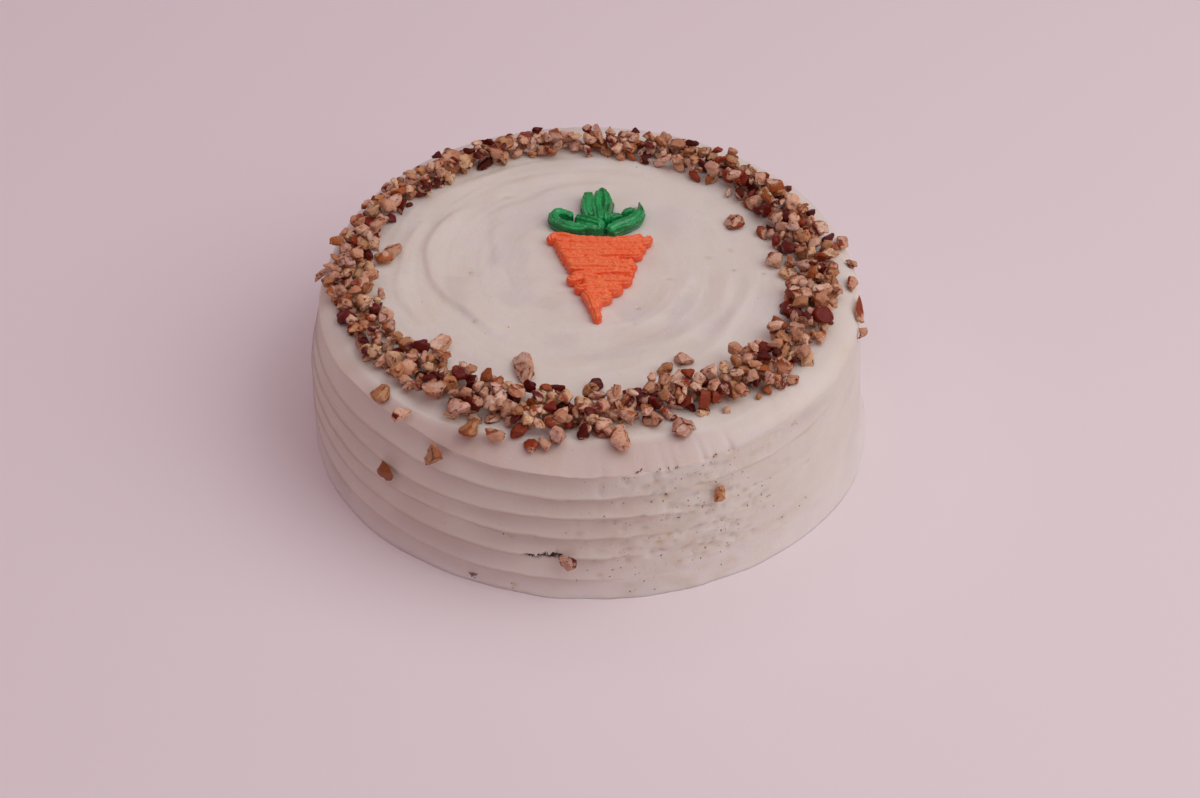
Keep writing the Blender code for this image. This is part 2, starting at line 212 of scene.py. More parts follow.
PITS = make_pits()
TEAR = spline([(-12.2, 20.2), (-10.6, 20.9), (-9.6, 19.9), (-8.2, 21.3), (-6.8, 20.7),
               (-5.6, 22.2), (-4.4, 21.0), (-3.6, 19.6)], 30)


def tear_depth(front, height):
    """Share of the ragged crack in the left front at a point of the side."""
    reach = np.full(np.shape(front), 9.0)
    for place in TEAR:
        across = turn(front, place[0]) * SIDE_PER_DEGREE
        reach = np.minimum(reach, np.hypot(across, (height - place[1]) * 1.25))
    return 1 - smooth_step(reach, 0.5, 1.5)


# Where the side leans in towards the rim: how far, from and to which height, front angle and width
LEANS = [(3.0, 42, 62, -100, 25), (2.2, 50, 64, -38, 20)]


def combed(radius, front, height):
    """The radius with the hollows below the crests, and a lip at each crest."""
    for index in range(1, len(CRESTS)):
        upper = crest_height(index, front)
        lower = crest_height(index - 1, front)
        down = np.clip((upper - height) / (upper - lower), 0, 1)
        inside = (height <= upper) & (height >= lower)
        hollow = down ** 0.30 * (1 - down) ** 0.95 / 0.502
        lip = np.exp(-(down / 0.08) ** 2) + np.exp(-((1 - down) / 0.08) ** 2)
        lip = lip * 0.35 * comb_strength(index, front)
        depth = HOLLOW_DEPTH * hollow * comb_strength(index, front)
        radius = radius - np.where(inside, depth - lip, 0.0)
    return radius


def roughened(radius, front, height):
    """The radius with the frosting's unevenness, torn most where it was smeared at the right front."""
    arc = front * SIDE_PER_DEGREE
    radius = radius + 0.45 * NOISE_B(arc / 31, height / 15, 0.5)
    drag = smooth_step(front, -5, 14) * (1 - 0.8 * smooth_step(front, 27, 42))
    torn = np.clip(NOISE(arc / 7.0, height / 2.6, 2.5) - 0.25, 0, 1)
    radius = radius + (0.08 + 0.10 * drag) * NOISE(arc / 8.5, height / 1.9, 4.5)
    radius = radius - (0.10 + 0.42 * drag) * torn
    return radius + (0.03 + 0.06 * drag) * NOISE(arc / 2.6, height / 1.1, 6.5)


def pitted(radius, front, height):
    """The radius with the pits, and with the tear in the left front."""
    for spot in PITS:
        near = np.abs(turn(front, spot[0])) < 4
        if near.any():
            across = turn(front, spot[0]) * SIDE_PER_DEGREE
            away = (across / spot[2]) ** 2 + ((height - spot[1]) / spot[3]) ** 2
            radius = radius - np.where(near, spot[4] * np.exp(-away), 0.0)
    return radius - 1.3 * tear_depth(front, height)


def with_foot(radius, front, height):
    """The radius with the thin skirt of frosting at the foot, broadest at the right front."""
    reach = 0.5 + 2.9 * bell(front, 70, 36) + 0.5 * NOISE(front / 7.0, 0.5, 4.5)
    tall = 2.0 + 0.6 * bell(front, 70, 36) + 4.2 * bell(front, 60, 22)
    skirt = reach * np.exp(-(np.maximum(height - 0.9, 0) / tall) ** 1.2)
    ledge = LEDGE_HEIGHT + 1.2 * NOISE(front / 6.0, 2.5, 7.5)
    step = 0.5 * bell(front, 54, 13) * (1 - smooth_step(height, ledge - 0.5, ledge + 0.1))
    lean = 0.5 * bell(front, 60, 60) * np.exp(-(height / 9) ** 2)
    return radius + skirt + step + lean


def side_radius(front, height):
    """Radius of the frosted side, in mm, at a front angle and a height."""
    front = np.asarray(front, float)
    height = np.asarray(height, float)
    round_x = np.cos(np.radians(2 * (front + FRONT_DIRECTION)))
    share = np.clip(height / RIM_HEIGHT, 0, 1.0)
    share = share - np.maximum(share - 0.85, 0) ** 2 / 0.3
    radius = BASE_RADIUS + (RIM_RADIUS - BASE_RADIUS) * share ** 2 + OVAL * round_x * (1 - share)
    radius = combed(radius, front, height)
    for depth, low, high, middle, width in LEANS:
        radius = radius - depth * smooth_step(height, low, high) * bell(front, middle, width)
    for change in (roughened, pitted, with_foot):
        radius = change(radius, front, height)
    return radius


# Front angle, radius at which the top starts to fall, share of the fall that is straight, and how
# much painted shade the shoulder gets
SHOULDER = np.array([
    (-180, 99.8, 0.0, 0.0), (-110, 100.2, 0.0, 0.0), (-78, 102.2, 0.3, 0.2), (-60, 103.6, 0.6, 0.6),
    (-42, 103.8, 0.85, 0.9), (-33, 102.6, 0.85, 0.9), (-26, 101.0, 0.85, 0.9),
    (-17, 99.0, 0.85, 0.9), (-8, 97.0, 0.85, 0.9), (10, 96.2, 0.85, 0.9), (20, 97.4, 0.85, 0.8),
    (30, 100.2, 0.5, 0.3), (46, 101.0, 0.3, 0.0), (80, 99.8, 0.0, 0.0), (180, 99.8, 0.0, 0.0)])


def shoulder(front, column):
    return np.interp(turn(front, 0), SHOULDER[:, 0], SHOULDER[:, column])


def shoulder_start(front):
    """Radius at which the top starts to fall: well in at the front, close to the edge at the left."""
    return shoulder(front, 1)


def shoulder_fall(share, front):
    """Share of the shoulder's height left at a share of the way out: round, but straight in front."""
    straight = shoulder(front, 2)
    return (1 - straight) * np.sqrt(np.clip(1 - share ** 2, 0, 1)) + straight * (1 - share)


# Strokes of the spatula in the top: points, height of the ridge, width of its inner slope.
# Each goes clockwise about the middle, and drops sharply on its outer, left-hand side.
TOP_ARCS = [
    ([(-45, 34), (-38, 43), (-24, 51), (-14, 59), (2, 62), (16, 61)], 0.55, 5.0),
    ([(-33, -37), (-46, -23), (-55, -14), (-61, -5), (-65, 10), (-65, 23), (-58, 38), (-46, 50)],
     0.95, 7.0),
    ([(-61, -33), (-69, -23), (-76, -9), (-75, 10), (-74, 23), (-66, 42)], 0.50, 5.0),
    ([(-40, 2), (-37, 8), (-38, 23), (-38, 38), (-30, 46)], 0.40, 5.0),
    ([(-70, 48), (-52, 62), (-26, 76), (0, 80), (20, 78), (38, 70)], 0.60, 5.0),
    ([(-48, 52), (-30, 64), (-8, 70), (14, 69), (34, 60)], 0.45, 5.0),
    ([(42, 10), (40, -3), (33, -15), (27, -24), (16, -30)], 0.45, 5.0),
    ([(58, 10), (56, -3), (54, -15), (46, -27), (36, -37), (23, -42), (8, -45)], 0.65, 6.0),
    ([(68, 8), (65, -9), (61, -19), (54, -35), (49, -42), (38, -52)], 0.60, 4.5),
    ([(10, -52), (-8, -56), (-26, -52), (-42, -42)], 0.40, 5.0),
    ([(76, 30), (78, 8), (75, -14), (66, -34)], 0.40, 4.0),
    ([(34, 52), (50, 38), (58, 22)], 0.35, 5.0),
]
TOP_LINES = [(spline(points, 22), rise, slope) for points, rise, slope in TOP_ARCS]
OUTER_SLOPE = 2.2                  # width of a ridge's outer slope
LINE_RISE = 1.5                    # all the ridges are this many times as high as in the list
# Dents in the top: x, y, half width, half height, depth
TOP_DENTS = [(-35, 54, 2.6, 1.1, 0.9), (20, -19, 0.9, 0.9, 0.6), (59, 6, 1.0, 0.8, 0.5),
             (71, 4, 0.9, 0.9, 0.5), (-48, 3, 1.0, 1.4, 0.5), (-45, -28, 0.8, 0.8, 0.5),
             (49, 14, 2.6, 0.7, 0.3), (58, 19, 2.2, 0.7, 0.3), (33, 0, 2.4, 0.8, 0.5)]


def top_relief(x, y):
    """Height of the frosted top above its plane, in mm."""
    x = np.asarray(x, float)
    y = np.asarray(y, float)
    relief = 0.28 * NOISE_B(x / 26, y / 26, 1.5)
    radius = np.hypot(x - SWIRL_CENTRE[0], y - SWIRL_CENTRE[1])
    angle = np.arctan2(y - SWIRL_CENTRE[1], x - SWIRL_CENTRE[0])
    fade = smooth_step(np.hypot(x, y), 14, 30) * (1 - smooth_step(np.hypot(x, y), 84, 96))
    turns = radius / SWIRL_PITCH + angle / math.tau + 0.12 * NOISE(x / 30, y / 30, 8.5)
    wave = np.mod(turns, 1.0)
    relief = relief + 0.17 * fade * (wave ** 1.6 * (1 - smooth_step(wave, 0.92, 1)) - 0.35)
    for points, rise, slope in TOP_LINES:
        away, along = line_field(x, y, points)
        ends = smooth_step(along, 0, 0.22) * (1 - smooth_step(along, 0.78, 1))
        ridge = np.exp(-(away / np.where(away > 0, slope, OUTER_SLOPE)) ** 2)
        relief = relief + LINE_RISE * rise * ends * ridge
    relief = relief + 0.04 * NOISE(radius / 1.5, angle * 4.2, 0.7) * fade
    relief = relief + 0.05 * NOISE(x / 2.2, y / 2.2, 3.7)
    for spot in TOP_DENTS:
        away = ((x - spot[0]) / spot[2]) ** 2 + ((y - spot[1]) / spot[3]) ** 2
        relief = relief - spot[4] * np.exp(-away)
    return relief


def top_height(x, y):
    """Height of the frosting above the base at a point of the top or the shoulder, in mm."""
    x = np.asarray(x, float)
    y = np.asarray(y, float)
    radius = np.hypot(x, y)
    front = front_angle(x, y)
    rim = side_radius(front, np.full(np.shape(front), RIM_HEIGHT))
    start = shoulder_start(front)
    share = np.clip((radius - start) / (rim - start), 0, 1)
    top = CAKE_HEIGHT + top_relief(x, y)
    low = crest_height(len(CRESTS) - 1, front)
    return low + (top - low) * shoulder_fall(share, front)


# ------------ meshes and materials

def vertex_values(mesh, name="co"):
    """A value of three numbers for every vertex of a mesh, as rows."""
    values = np.zeros(len(mesh.vertices) * 3)
    mesh.vertices.foreach_get(name, values)
    return values.reshape(-1, 3)


def new_object(name, data):
    made = bpy.data.objects.new(name, data)
    bpy.context.scene.collection.objects.link(made)
    return made


def make_object(name, points, faces, material):
    """Object from points in mm and a list or array of faces, riding on the part's one body."""
    mesh = bpy.data.meshes.new(name)
    mesh.from_pydata((np.asarray(points) * MM).tolist(), [],
                     faces.tolist() if hasattr(faces, "tolist") else faces)
    mesh.validate()
    mesh.shade_smooth()
    mesh.materials.append(material)
    made = new_object(name, mesh)
    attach(made, "root")
    return made


def paint(made, name, colours):
    """Store a colour for each vertex of an object."""
    layer = made.data.color_attributes.new(name, "FLOAT_COLOR", "POINT")
    values = np.ones((len(made.data.vertices), 4), np.float32)
    colours = np.asarray(colours)
    values[:, :colours.shape[1]] = colours
    layer.data.foreach_set("color", values.ravel())


class Look:
    """A material with its shader, and short ways to add nodes to it and wire them."""

    def __init__(self, name):
        self.material = bpy.data.materials.new(name)
        self.material.use_nodes = True
        self.tree = self.material.node_tree
        self.place = self.node("TexCoord").outputs["Object"]

    def fill(self, socket, value):
        if isinstance(value, bpy.types.NodeSocket):
            self.tree.links.new(value, socket)
        else:
            socket.default_value = value

    def shade(self, **values):
        """Set or wire inputs of the shader, with _ for the spaces in their names."""
        for name, value in values.items():
            self.fill(self.tree.nodes["Principled BSDF"].inputs[name.replace("_", " ")], value)

    def node(self, kind, settings=None, **inputs):
        """Add a node. An input is given by its name, or by _ and its number."""
        made = self.tree.nodes.new("ShaderNode" + kind)
        for key, value in (settings or {}).items():
            setattr(made, key, value)
        for key, value in inputs.items():
            self.fill(made.inputs[int(key[1:])] if key[0] == "_" else made.inputs[key], value)
        return made

    def attribute(self, name, output="Fac"):
        return self.node("Attribute", {"attribute_name": name}).outputs[output]

    def noise(self, scale, detail=3.0, roughness=0.5):
        return self.node("TexNoise", Vector=self.place, Scale=scale, Detail=detail,
                         Roughness=roughness).outputs[0]

    def blend(self, share, first, second, mode="MIX"):
        return self.node("Mix", {"data_type": "RGBA", "blend_type": mode},
                         _0=share, _6=first, _7=second).outputs[2]

    def ramp(self, value, low, high, start=0.0, end=1.0):
        return self.node("MapRange", _0=value, _1=low, _2=high, _3=start, _4=end).outputs[0]

    def math(self, operation, first, second, third):
        return self.node("Math", {"operation": operation}, _0=first, _1=second,
                         _2=third).outputs[0]

    def bump(self, height, strength, distance, **below):
        return self.node("Bump", Height=height, Strength=strength, Distance=distance,
                         **below).outputs[0]


def frosting_look():
    look = Look("frosting")
    stains_and_shade = look.node("SeparateColor", Color=look.attribute("stain_and_shade", "Color")).outputs
    height = look.node("SeparateXYZ", Vector=look.place).outputs[2]
    base = look.blend(look.ramp(look.noise(34.0), 0.35, 0.65), (0.800, 0.775, 0.700, 1),
                      (0.785, 0.745, 0.655, 1))
    layers = [
        (look.ramp(look.noise(260.0, 4.0, 0.6), 0.62, 0.80, 0.0, 0.5), (0.70, 0.60, 0.44, 1)),
        (look.ramp(height, 0.004, 0.026, 0.8, 0.0), (0.84, 0.81, 0.78, 1)),    # painted light: paler towards the foot
        (look.attribute("stain_and_shade", "Alpha"), (0.66, 0.545, 0.485, 1)),           # painted shade, greyer and pinker
        (stains_and_shade[2], (0.66, 0.62, 0.60, 1)),                                    # translucent
        (stains_and_shade[1], (0.56, 0.44, 0.16, 1)),                                    # yellow
        (stains_and_shade[0], (0.030, 0.020, 0.012, 1)),                                 # dark
    ]
    for share, colour in layers:
        base = look.blend(share, base, colour)
    bubbles = look.node("TexVoronoi", {"feature": "F1"}, Vector=look.place, Scale=300.0).outputs[0]
    grain = look.bump(look.noise(900.0, 4.0, 0.6), 0.22, 0.0005)
    look.shade(Base_Color=base, Roughness=look.ramp(look.noise(120.0), 0.3, 0.7, 0.36, 0.52),
               Normal=look.bump(look.ramp(bubbles, 0.05, 0.22), 0.20, 0.0005, Normal=grain),
               Subsurface_Weight=0.30, Subsurface_Radius=(1.0, 0.62, 0.38),
               Subsurface_Scale=0.004, Specular_IOR_Level=0.45)
    return look.material


RIM_SKIN = 0.40                    # share of skin at which a piece has its dark line


def pecan_look():
    look = Look("chopped_pecan")
    tone = look.attribute("tone", "Color")
    skin = look.attribute("skin")
    mottle = look.noise(620.0, 4.0, 0.65)
    veins = look.noise(1500.0, 3.0, 0.6)
    base = look.blend(look.ramp(mottle, 0.58, 0.68, 0.0, 0.75), tone,
                      look.blend(0.8, tone, (0.30, 0.115, 0.045, 1), "MULTIPLY"))
    base = look.blend(look.ramp(veins, 0.35, 0.70, 0.0, 0.25), base,
                      look.blend(1.0, base, (0.62, 0.42, 0.30, 1), "MULTIPLY"))
    flecks = look.ramp(look.noise(1150.0, 2.0), 0.665, 0.70, 0.0, 0.8)
    base = look.blend(flecks, base, (0.13, 0.035, 0.012, 1))
    shifted = look.math("MULTIPLY_ADD", veins, 0.30, skin)
    dark_line = look.math("COMPARE", shifted, RIM_SKIN + 0.15, 0.055)
    base = look.blend(dark_line, base, (0.085, 0.014, 0.006, 1))
    coarse = look.bump(mottle, 0.45, 0.0006)
    look.shade(Base_Color=base, Roughness=look.ramp(skin, 0.0, 1.0, 0.50, 0.27),
               Normal=look.bump(veins, 0.30, 0.0003, Normal=coarse),
               Subsurface_Weight=0.12, Subsurface_Radius=(1.0, 0.45, 0.25),
               Subsurface_Scale=0.0015, Specular_IOR_Level=0.22)
    return look.material


def icing_look(name, light, middle, hollow_shade, rough):
    look = Look(name)
    base = look.blend(look.ramp(look.noise(160.0, 4.0, 0.6), 0.35, 0.65), middle, light)
    # Painted shade, darker in the low parts between strokes
    base = look.blend(look.attribute("hollow"), base, hollow_shade)
    sheen = look.ramp(look.noise(700.0), 0.35, 0.65, rough - 0.06, rough + 0.12)
    look.shade(Base_Color=base, Roughness=sheen,
               Normal=look.bump(look.noise(1500.0, 3.0, 0.6), 0.35, 0.0004),
               Subsurface_Weight=0.15, Subsurface_Radius=(1.0, 0.35, 0.15),
               Subsurface_Scale=0.002, Coat_Weight=0.22, Coat_Roughness=0.14)
    return look.material


def floor_look():
    look = Look("pale_floor")
    look.shade(Base_Color=look.blend(look.noise(3.0, 2.0), (0.86, 0.80, 0.81, 1),
                                     (0.88, 0.82, 0.83, 1)), Roughness=0.8)
    return look.material


FROSTING = frosting_look()
PECAN = pecan_look()
# Each icing: lighter and middle colour, painted shade for its hollows, and roughness
ORANGE = icing_look("orange_icing", (1.0, 0.215, 0.058, 1), (1.0, 0.165, 0.036, 1),
                    (0.88, 0.060, 0.010, 1), 0.27)
GREEN = icing_look("green_icing", (0.008, 0.450, 0.115, 1), (0.001, 0.205, 0.050, 1),
                   (0.001, 0.032, 0.010, 1), 0.18)


# ------------ frosted body

def grid_faces(rows, columns):
    """Quads of a grid that closes round on itself."""
    index = np.arange(rows * columns).reshape(rows, columns)
    after = np.roll(index, -1, axis=1)
    return np.stack([index[:-1], after[:-1], after[1:], index[1:]], axis=-1).reshape(-1, 4)


def band_faces(first, second):
    """Faces between two loops of vertex numbers; the second may have half as many."""
    if len(first) == len(second):
        return np.stack([first, np.roll(first, -1), np.roll(second, -1), second], axis=1).tolist()
    even = first[0::2]
    odd = first[1::2]
    after = np.roll(second, -1)
    return (np.stack([even, odd, second], axis=1).tolist()
            + np.stack([odd, after, second], axis=1).tolist()
            + np.stack([odd, np.roll(even, -1), after], axis=1).tolist())


FRONT_REACH = 106                  # degrees either side of the front that are meshed finely
FRONT_COLUMNS = 462
BACK_COLUMNS = 146
HALVED_AT = 66.0                   # radius inside which half the columns are left out
EVEN_FROM = 78.0                   # radius inside which the rows are round
FOOT_ROWS = (0.0, 0.6, 1.2)        # heights of the lowest rows of points
ROW_SHARES = (1.0, 0.92, 0.81, 0.69, 0.57, 0.45, 0.34, 0.24, 0.15, 0.08, 0.03)   # below each crest


def make_frosting():
    front = np.concatenate([
        np.linspace(-FRONT_REACH, FRONT_REACH, FRONT_COLUMNS, endpoint=False),
        np.linspace(FRONT_REACH, 360 - FRONT_REACH, BACK_COLUMNS, endpoint=False)])
    front = (front + 180) % 360 - 180
    turned = np.radians(front + FRONT_DIRECTION)
    points = []
    stains_and_shade = []

    def add_side_row(height):
        radius = side_radius(front, height)
        points.append(np.stack([radius * np.cos(turned), radius * np.sin(turned), height], axis=1))
        stains_and_shade.append(side_stain_and_shade(front, height))

    def add_top_row(radius, angles, low=0.0, fall=1.0):
        x = radius * np.cos(angles)
        y = radius * np.sin(angles)
        top = CAKE_HEIGHT + top_relief(x, y)
        points.append(np.stack([x, y, low + (top - low) * fall], axis=1))
        stains_and_shade.append(top_stain_and_shade(x, y))

    for height in FOOT_ROWS:
        add_side_row(np.full(len(front), height))
    for index in range(1, len(CRESTS)):
        upper = crest_height(index, front)
        lower = crest_height(index - 1, front)
        for down in ROW_SHARES:
            add_side_row(upper + (lower - upper) * down)
    add_side_row(crest_height(len(CRESTS) - 1, front))
    rim = np.hypot(points[-1][:, 0], points[-1][:, 1])
    low = points[-1][:, 2]
    start = shoulder_start(front)
    for step in range(83, 0, -7):
        share = math.sin(math.radians(step))
        add_top_row(start + (rim - start) * share, turned, low, shoulder_fall(share, front))
    even = RIM_RADIUS - SHOULDER_RUN
    for middle in np.concatenate([np.arange(even, 24, -0.86), np.arange(24, 2, -2.0)]):
        angles = turned if middle > HALVED_AT else turned[::2]
        shift = (start if middle > HALVED_AT else start[::2]) - even
        add_top_row(middle + shift * smooth_step(middle, EVEN_FROM, even), angles)
    starts = np.cumsum([0] + [len(row) for row in points])
    loops = [np.arange(first, last) for first, last in zip(starts, starts[1:])]
    faces = []
    for first, second in zip(loops, loops[1:]):
        faces += band_faces(first, second)
    base = int(starts[-1])
    foot = loops[0]
    faces += [(int(after), int(index), base) for index, after in zip(foot, np.roll(foot, -1))]
    peak = loops[-1]
    faces += [(int(index), int(after), base + 1) for index, after in zip(peak, np.roll(peak, -1))]
    flat = np.concatenate(points + [[[0, 0, 0]], [[0, 0, CAKE_HEIGHT]]])
    made = make_object("frosted_cake", flat, faces, FROSTING)
    # Stains for each vertex, with painted shade in the fourth channel
    paint(made, "stain_and_shade", np.concatenate(stains_and_shade + [np.zeros((2, 4))]))
    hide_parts("cake")


def side_stain_and_shade(front, height):
    """Dark, yellow and translucent shares of the side at a point, and its painted shade below each
    crest.
    """
    dark = smooth_step(tear_depth(front, height), 0.45, 0.95)
    yellow = 0.10 * bell(front, 20, 26) * (0.5 + NOISE(front / 3, height / 4, 1.1))
    yellow = yellow + 0.16 * bell(front, 46, 8) * np.exp(-((height - 16) / 2.5) ** 2)
    yellow = yellow + 0.04 * np.exp(-(height / 9) ** 2)
    for spot in PIT_SPOTS:
        across = turn(front, spot[0]) * SIDE_PER_DEGREE
        away = (across / 1.3) ** 2 + ((height - spot[1]) / 0.9) ** 2
        yellow = yellow + 0.45 * np.exp(-away)
    thin = 0.45 * bell(front, 52, 7) * np.exp(-((height - 58) / 3.0) ** 2)
    thin = thin + 0.22 * smooth_step(NOISE_B(front / 10, height / 7, 4.4), 0.1, 0.9)
    # Painted shade, strongest just below each crest and fading down its hollow
    shade = np.zeros(np.shape(front))
    for index in range(1, len(CRESTS)):
        upper = crest_height(index, front)
        down = (upper - height) / (upper - crest_height(index - 1, front))
        inside = (down >= 0) & (down <= 1)
        shade = shade + np.where(inside, 0.75 * np.exp(-down / 0.35), 0) * comb_strength(index, front)
    return np.clip(np.stack([dark, yellow, thin, shade], axis=1), 0, 1)


def top_stain_and_shade(x, y):
    """The same for the top, with painted shade where the shoulder falls."""
    radius = np.hypot(x - SWIRL_CENTRE[0], y - SWIRL_CENTRE[1])
    thin = 0.36 * smooth_step(NOISE_B(radius / 9, np.arctan2(y, x) * 2.2, 6.1), 0.0, 0.9)
    yellow = np.zeros(np.shape(x))
    for spot in TOP_DENTS:
        yellow = yellow + 0.4 * np.exp(-((x - spot[0]) / 1.2) ** 2 - ((y - spot[1]) / 0.8) ** 2)
    yellow = yellow + 0.09 * smooth_step(NOISE(x / 13, y / 13, 2.2), 0.0, 1.0)
    radius = np.hypot(x, y)
    front = front_angle(x, y)
    start = shoulder_start(front)
    # Painted shade on the shoulder, from where the top starts to fall
    shade = shoulder(front, 3) * smooth_step(radius - start, -0.8, 3.2)
    return np.clip(np.stack([np.zeros(np.shape(x)), yellow, thin, shade], axis=1), 0, 1)


# ------------ chopped pecans

FLESH_TONES = [(0.83, 0.60, 0.45), (0.73, 0.49, 0.35), (0.89, 0.69, 0.54), (0.86, 0.67, 0.44),
               (0.62, 0.35, 0.18), (0.77, 0.54, 0.44), (0.69, 0.41, 0.26)]
SKIN_TONES = [(0.180, 0.016, 0.007), (0.300, 0.050, 0.016), (0.095, 0.006, 0.002),
              (0.380, 0.105, 0.026), (0.130, 0.013, 0.010)]
SKIN_SHARES = (0.0, 0.3, 0.08, 0.55, 0.0, 0.2, 1.0, 0.12, 0.4, 0.8)


def ball(level):
    """Vertices and triangles of a sphere of radius 1."""
    shape = bmesh.new()
    bmesh.ops.create_icosphere(shape, subdivisions=level, radius=1.0)
    points = np.array([vert.co[:] for vert in shape.verts])
    faces = np.array([[vert.index for vert in face.verts] for face in shape.faces])
    shape.free()
    return points, faces


PIECE_FACES = 460
BIT_FACES = 90
STRAY_FACES = 1200
FLECK_FACES = 70


def thinned(points, faces, skin, keep):
    """The same chip with only about as many triangles as are kept."""
    mesh = bpy.data.meshes.new("chip")
    mesh.from_pydata(points.tolist(), [], faces.tolist())
    item = new_object("chip", mesh)
    item.modifiers.new("fewer", "DECIMATE").ratio = keep / len(faces)
    evaluated = item.evaluated_get(bpy.context.evaluated_depsgraph_get())
    small = evaluated.to_mesh()
    thin_points = vertex_values(small)
    small.calc_loop_triangles()
    thin_faces = np.array([tri.vertices[:] for tri in small.loop_triangles])
    evaluated.to_mesh_clear()
    bpy.data.objects.remove(item)
    bpy.data.meshes.remove(mesh)
    nearest = np.array([np.argmin(((points - place) ** 2).sum(1)) for place in thin_points])
    return thin_points, thin_faces, skin[nearest]


def unit(values):
    return values / np.linalg.norm(values)


def chip(seed, skin_share, level=4, keep=PIECE_FACES):
    """Broken piece of nut, 1 long: points, faces, colour share (0 flesh to 1 skin)."""
    chance = np.random.RandomState(seed)
    points, faces = ball(level)
    way = points.copy()
    points = np.sign(points) * np.abs(points) ** 0.90
    size = np.array([0.5, chance.uniform(0.29, 0.44), chance.uniform(0.23, 0.36)])
    offset = chance.uniform(0, 20, 3)
    points = points * size * (1 + 0.21 * NOISE(*(way * 1.4 + offset).T))[:, None]
    crease = unit(chance.normal(size=3))
    lean = way @ crease + 0.25 * NOISE(*(way * 1.6 + offset + 5).T)
    points = points * (1 - chance.uniform(0, 0.20) * np.exp(-(lean / 0.15) ** 2))[:, None]
    cut = np.zeros(len(points))
    edge = np.zeros(len(points))
    for _ in range(chance.randint(3, 7)):
        normal = unit(chance.normal(size=3))
        reach = np.percentile(points @ normal, chance.uniform(66, 90))
        beyond = points @ normal - reach
        rough = 0.012 * NOISE(*(points * 8 + offset).T)
        points = points - np.where(beyond > 0, beyond * 0.93 - rough, 0.0)[:, None] * normal
        cut = np.maximum(cut, smooth_step(beyond, -0.01, 0.02))
        edge = np.maximum(edge, np.exp(-(beyond / 0.035) ** 2))
    points = points + 0.014 * NOISE(*(points * 6.5 + offset).T)[:, None] * way
    points = points - (points.max(0) + points.min(0)) / 2
    points = points / np.ptp(points[:, 0])
    facing = way @ unit(chance.normal(size=3)) + 0.45 * NOISE(*(way * 1.7 + offset + 9).T)
    border = np.percentile(facing, 100 * (1 - skin_share))
    skin = smooth_step(facing, border - 0.10, border + 0.10) if skin_share > 0 else 0 * facing
    skin = skin * (1 - (0.9 if skin_share < 0.7 else 0.15) * cut)
    wash = smooth_step(NOISE(*(way * 2.6 + offset + 14).T), 0.15, 0.75)
    wash = np.maximum(wash, 1.2 * np.exp(-(lean / 0.10) ** 2))
    edge = edge * smooth_step(NOISE(*(way * 1.9 + offset + 17).T), -0.35, 0.15)
    skin = np.maximum(skin, np.maximum(0.15 * (1 - cut), np.maximum(0.22 * wash, 0.42 * edge)))
    return thinned(points, faces, skin, keep)


def chip_tones(skin, chance, flesh=None, hide=None):
    """Colour of each vertex of a chip: one flesh and one skin tone, with a dark line between."""
    flesh = chance.randint(len(FLESH_TONES)) if flesh is None else flesh
    hide = chance.randint(len(SKIN_TONES)) if hide is None else hide
    inside = np.array(FLESH_TONES[flesh]) * chance.uniform(0.84, 1.10)
    outside = np.array(SKIN_TONES[hide]) * chance.uniform(0.8, 1.25)
    share = smooth_step(skin, 0.42, 0.62)[:, None]
    rim = np.exp(-((skin[:, None] - RIM_SKIN) / 0.13) ** 2)
    tan = smooth_step(skin, 0.02, 0.20)[:, None]
    tone = inside * (1 - tan * np.array([0.12, 0.30, 0.42])) * (1 - share) + outside * share
    return tone * (1 - rim * np.array([0.42, 0.62, 0.70]))


def turned_by(chance):
    """Random rotation, even over all directions."""
    w, x, y, z = unit(chance.normal(size=4))
    return np.array([[1 - 2 * (y * y + z * z), 2 * (x * y - z * w), 2 * (x * z + y * w)],
                     [2 * (x * y + z * w), 1 - 2 * (x * x + z * z), 2 * (y * z - x * w)],
                     [2 * (x * z - y * w), 2 * (y * z + x * w), 1 - 2 * (x * x + y * y)]])


def lying(chance, x, y):
    """Rotation of a piece that lies on the frosting, tipped a little, or seldom any way at all."""
    if chance.rand() < 0.12:
        return turned_by(chance)
    yaw = Matrix.Rotation(chance.uniform(0, math.tau), 3, "Z")
    side = chance.uniform(0, math.tau)
    tip = Matrix.Rotation(math.radians(chance.normal(0, 30)), 3,
                          Vector((math.cos(side), math.sin(side), 0)))
    around = math.atan2(y, x)
    share = min(max((math.hypot(x, y) - RIM_RADIUS + SHOULDER_RUN) / SHOULDER_RUN, 0.0), 0.85)
    slope = math.atan(0.6 * share / math.sqrt(1 - share * share))
    lean = Matrix.Rotation(slope, 3, Vector((-math.sin(around), math.cos(around), 0)))
    return np.array(lean @ tip @ yaw)


class Heap:
    """Height of what lies on the cake so far, on a fine grid, so that pieces can be dropped on it."""
    STEP = 0.5
    REACH = 118

    def __init__(self):
        axis = np.arange(-self.REACH, self.REACH + self.STEP, self.STEP)
        x, y = np.meshgrid(axis, axis, indexing="ij")
        self.floor = np.where(np.hypot(x, y) < RIM_RADIUS - 0.4, top_height(x, y), -60.0)
        self.height = self.floor.copy()

    def cells(self, x, y):
        return (np.rint((x + self.REACH) / self.STEP).astype(int),
                np.rint((y + self.REACH) / self.STEP).astype(int))

    def rest(self, points, x, y):
        """Height at which a piece dropped at x, y comes to rest, a little bedded in."""
        lift = self.height[self.cells(points[:, 0] + x, points[:, 1] + y)] - points[:, 2]
        return np.sort(lift)[-1 - len(lift) // 24]

    def add(self, points):
        np.maximum.at(self.height, self.cells(points[:, 0], points[:, 1]), points[:, 2])


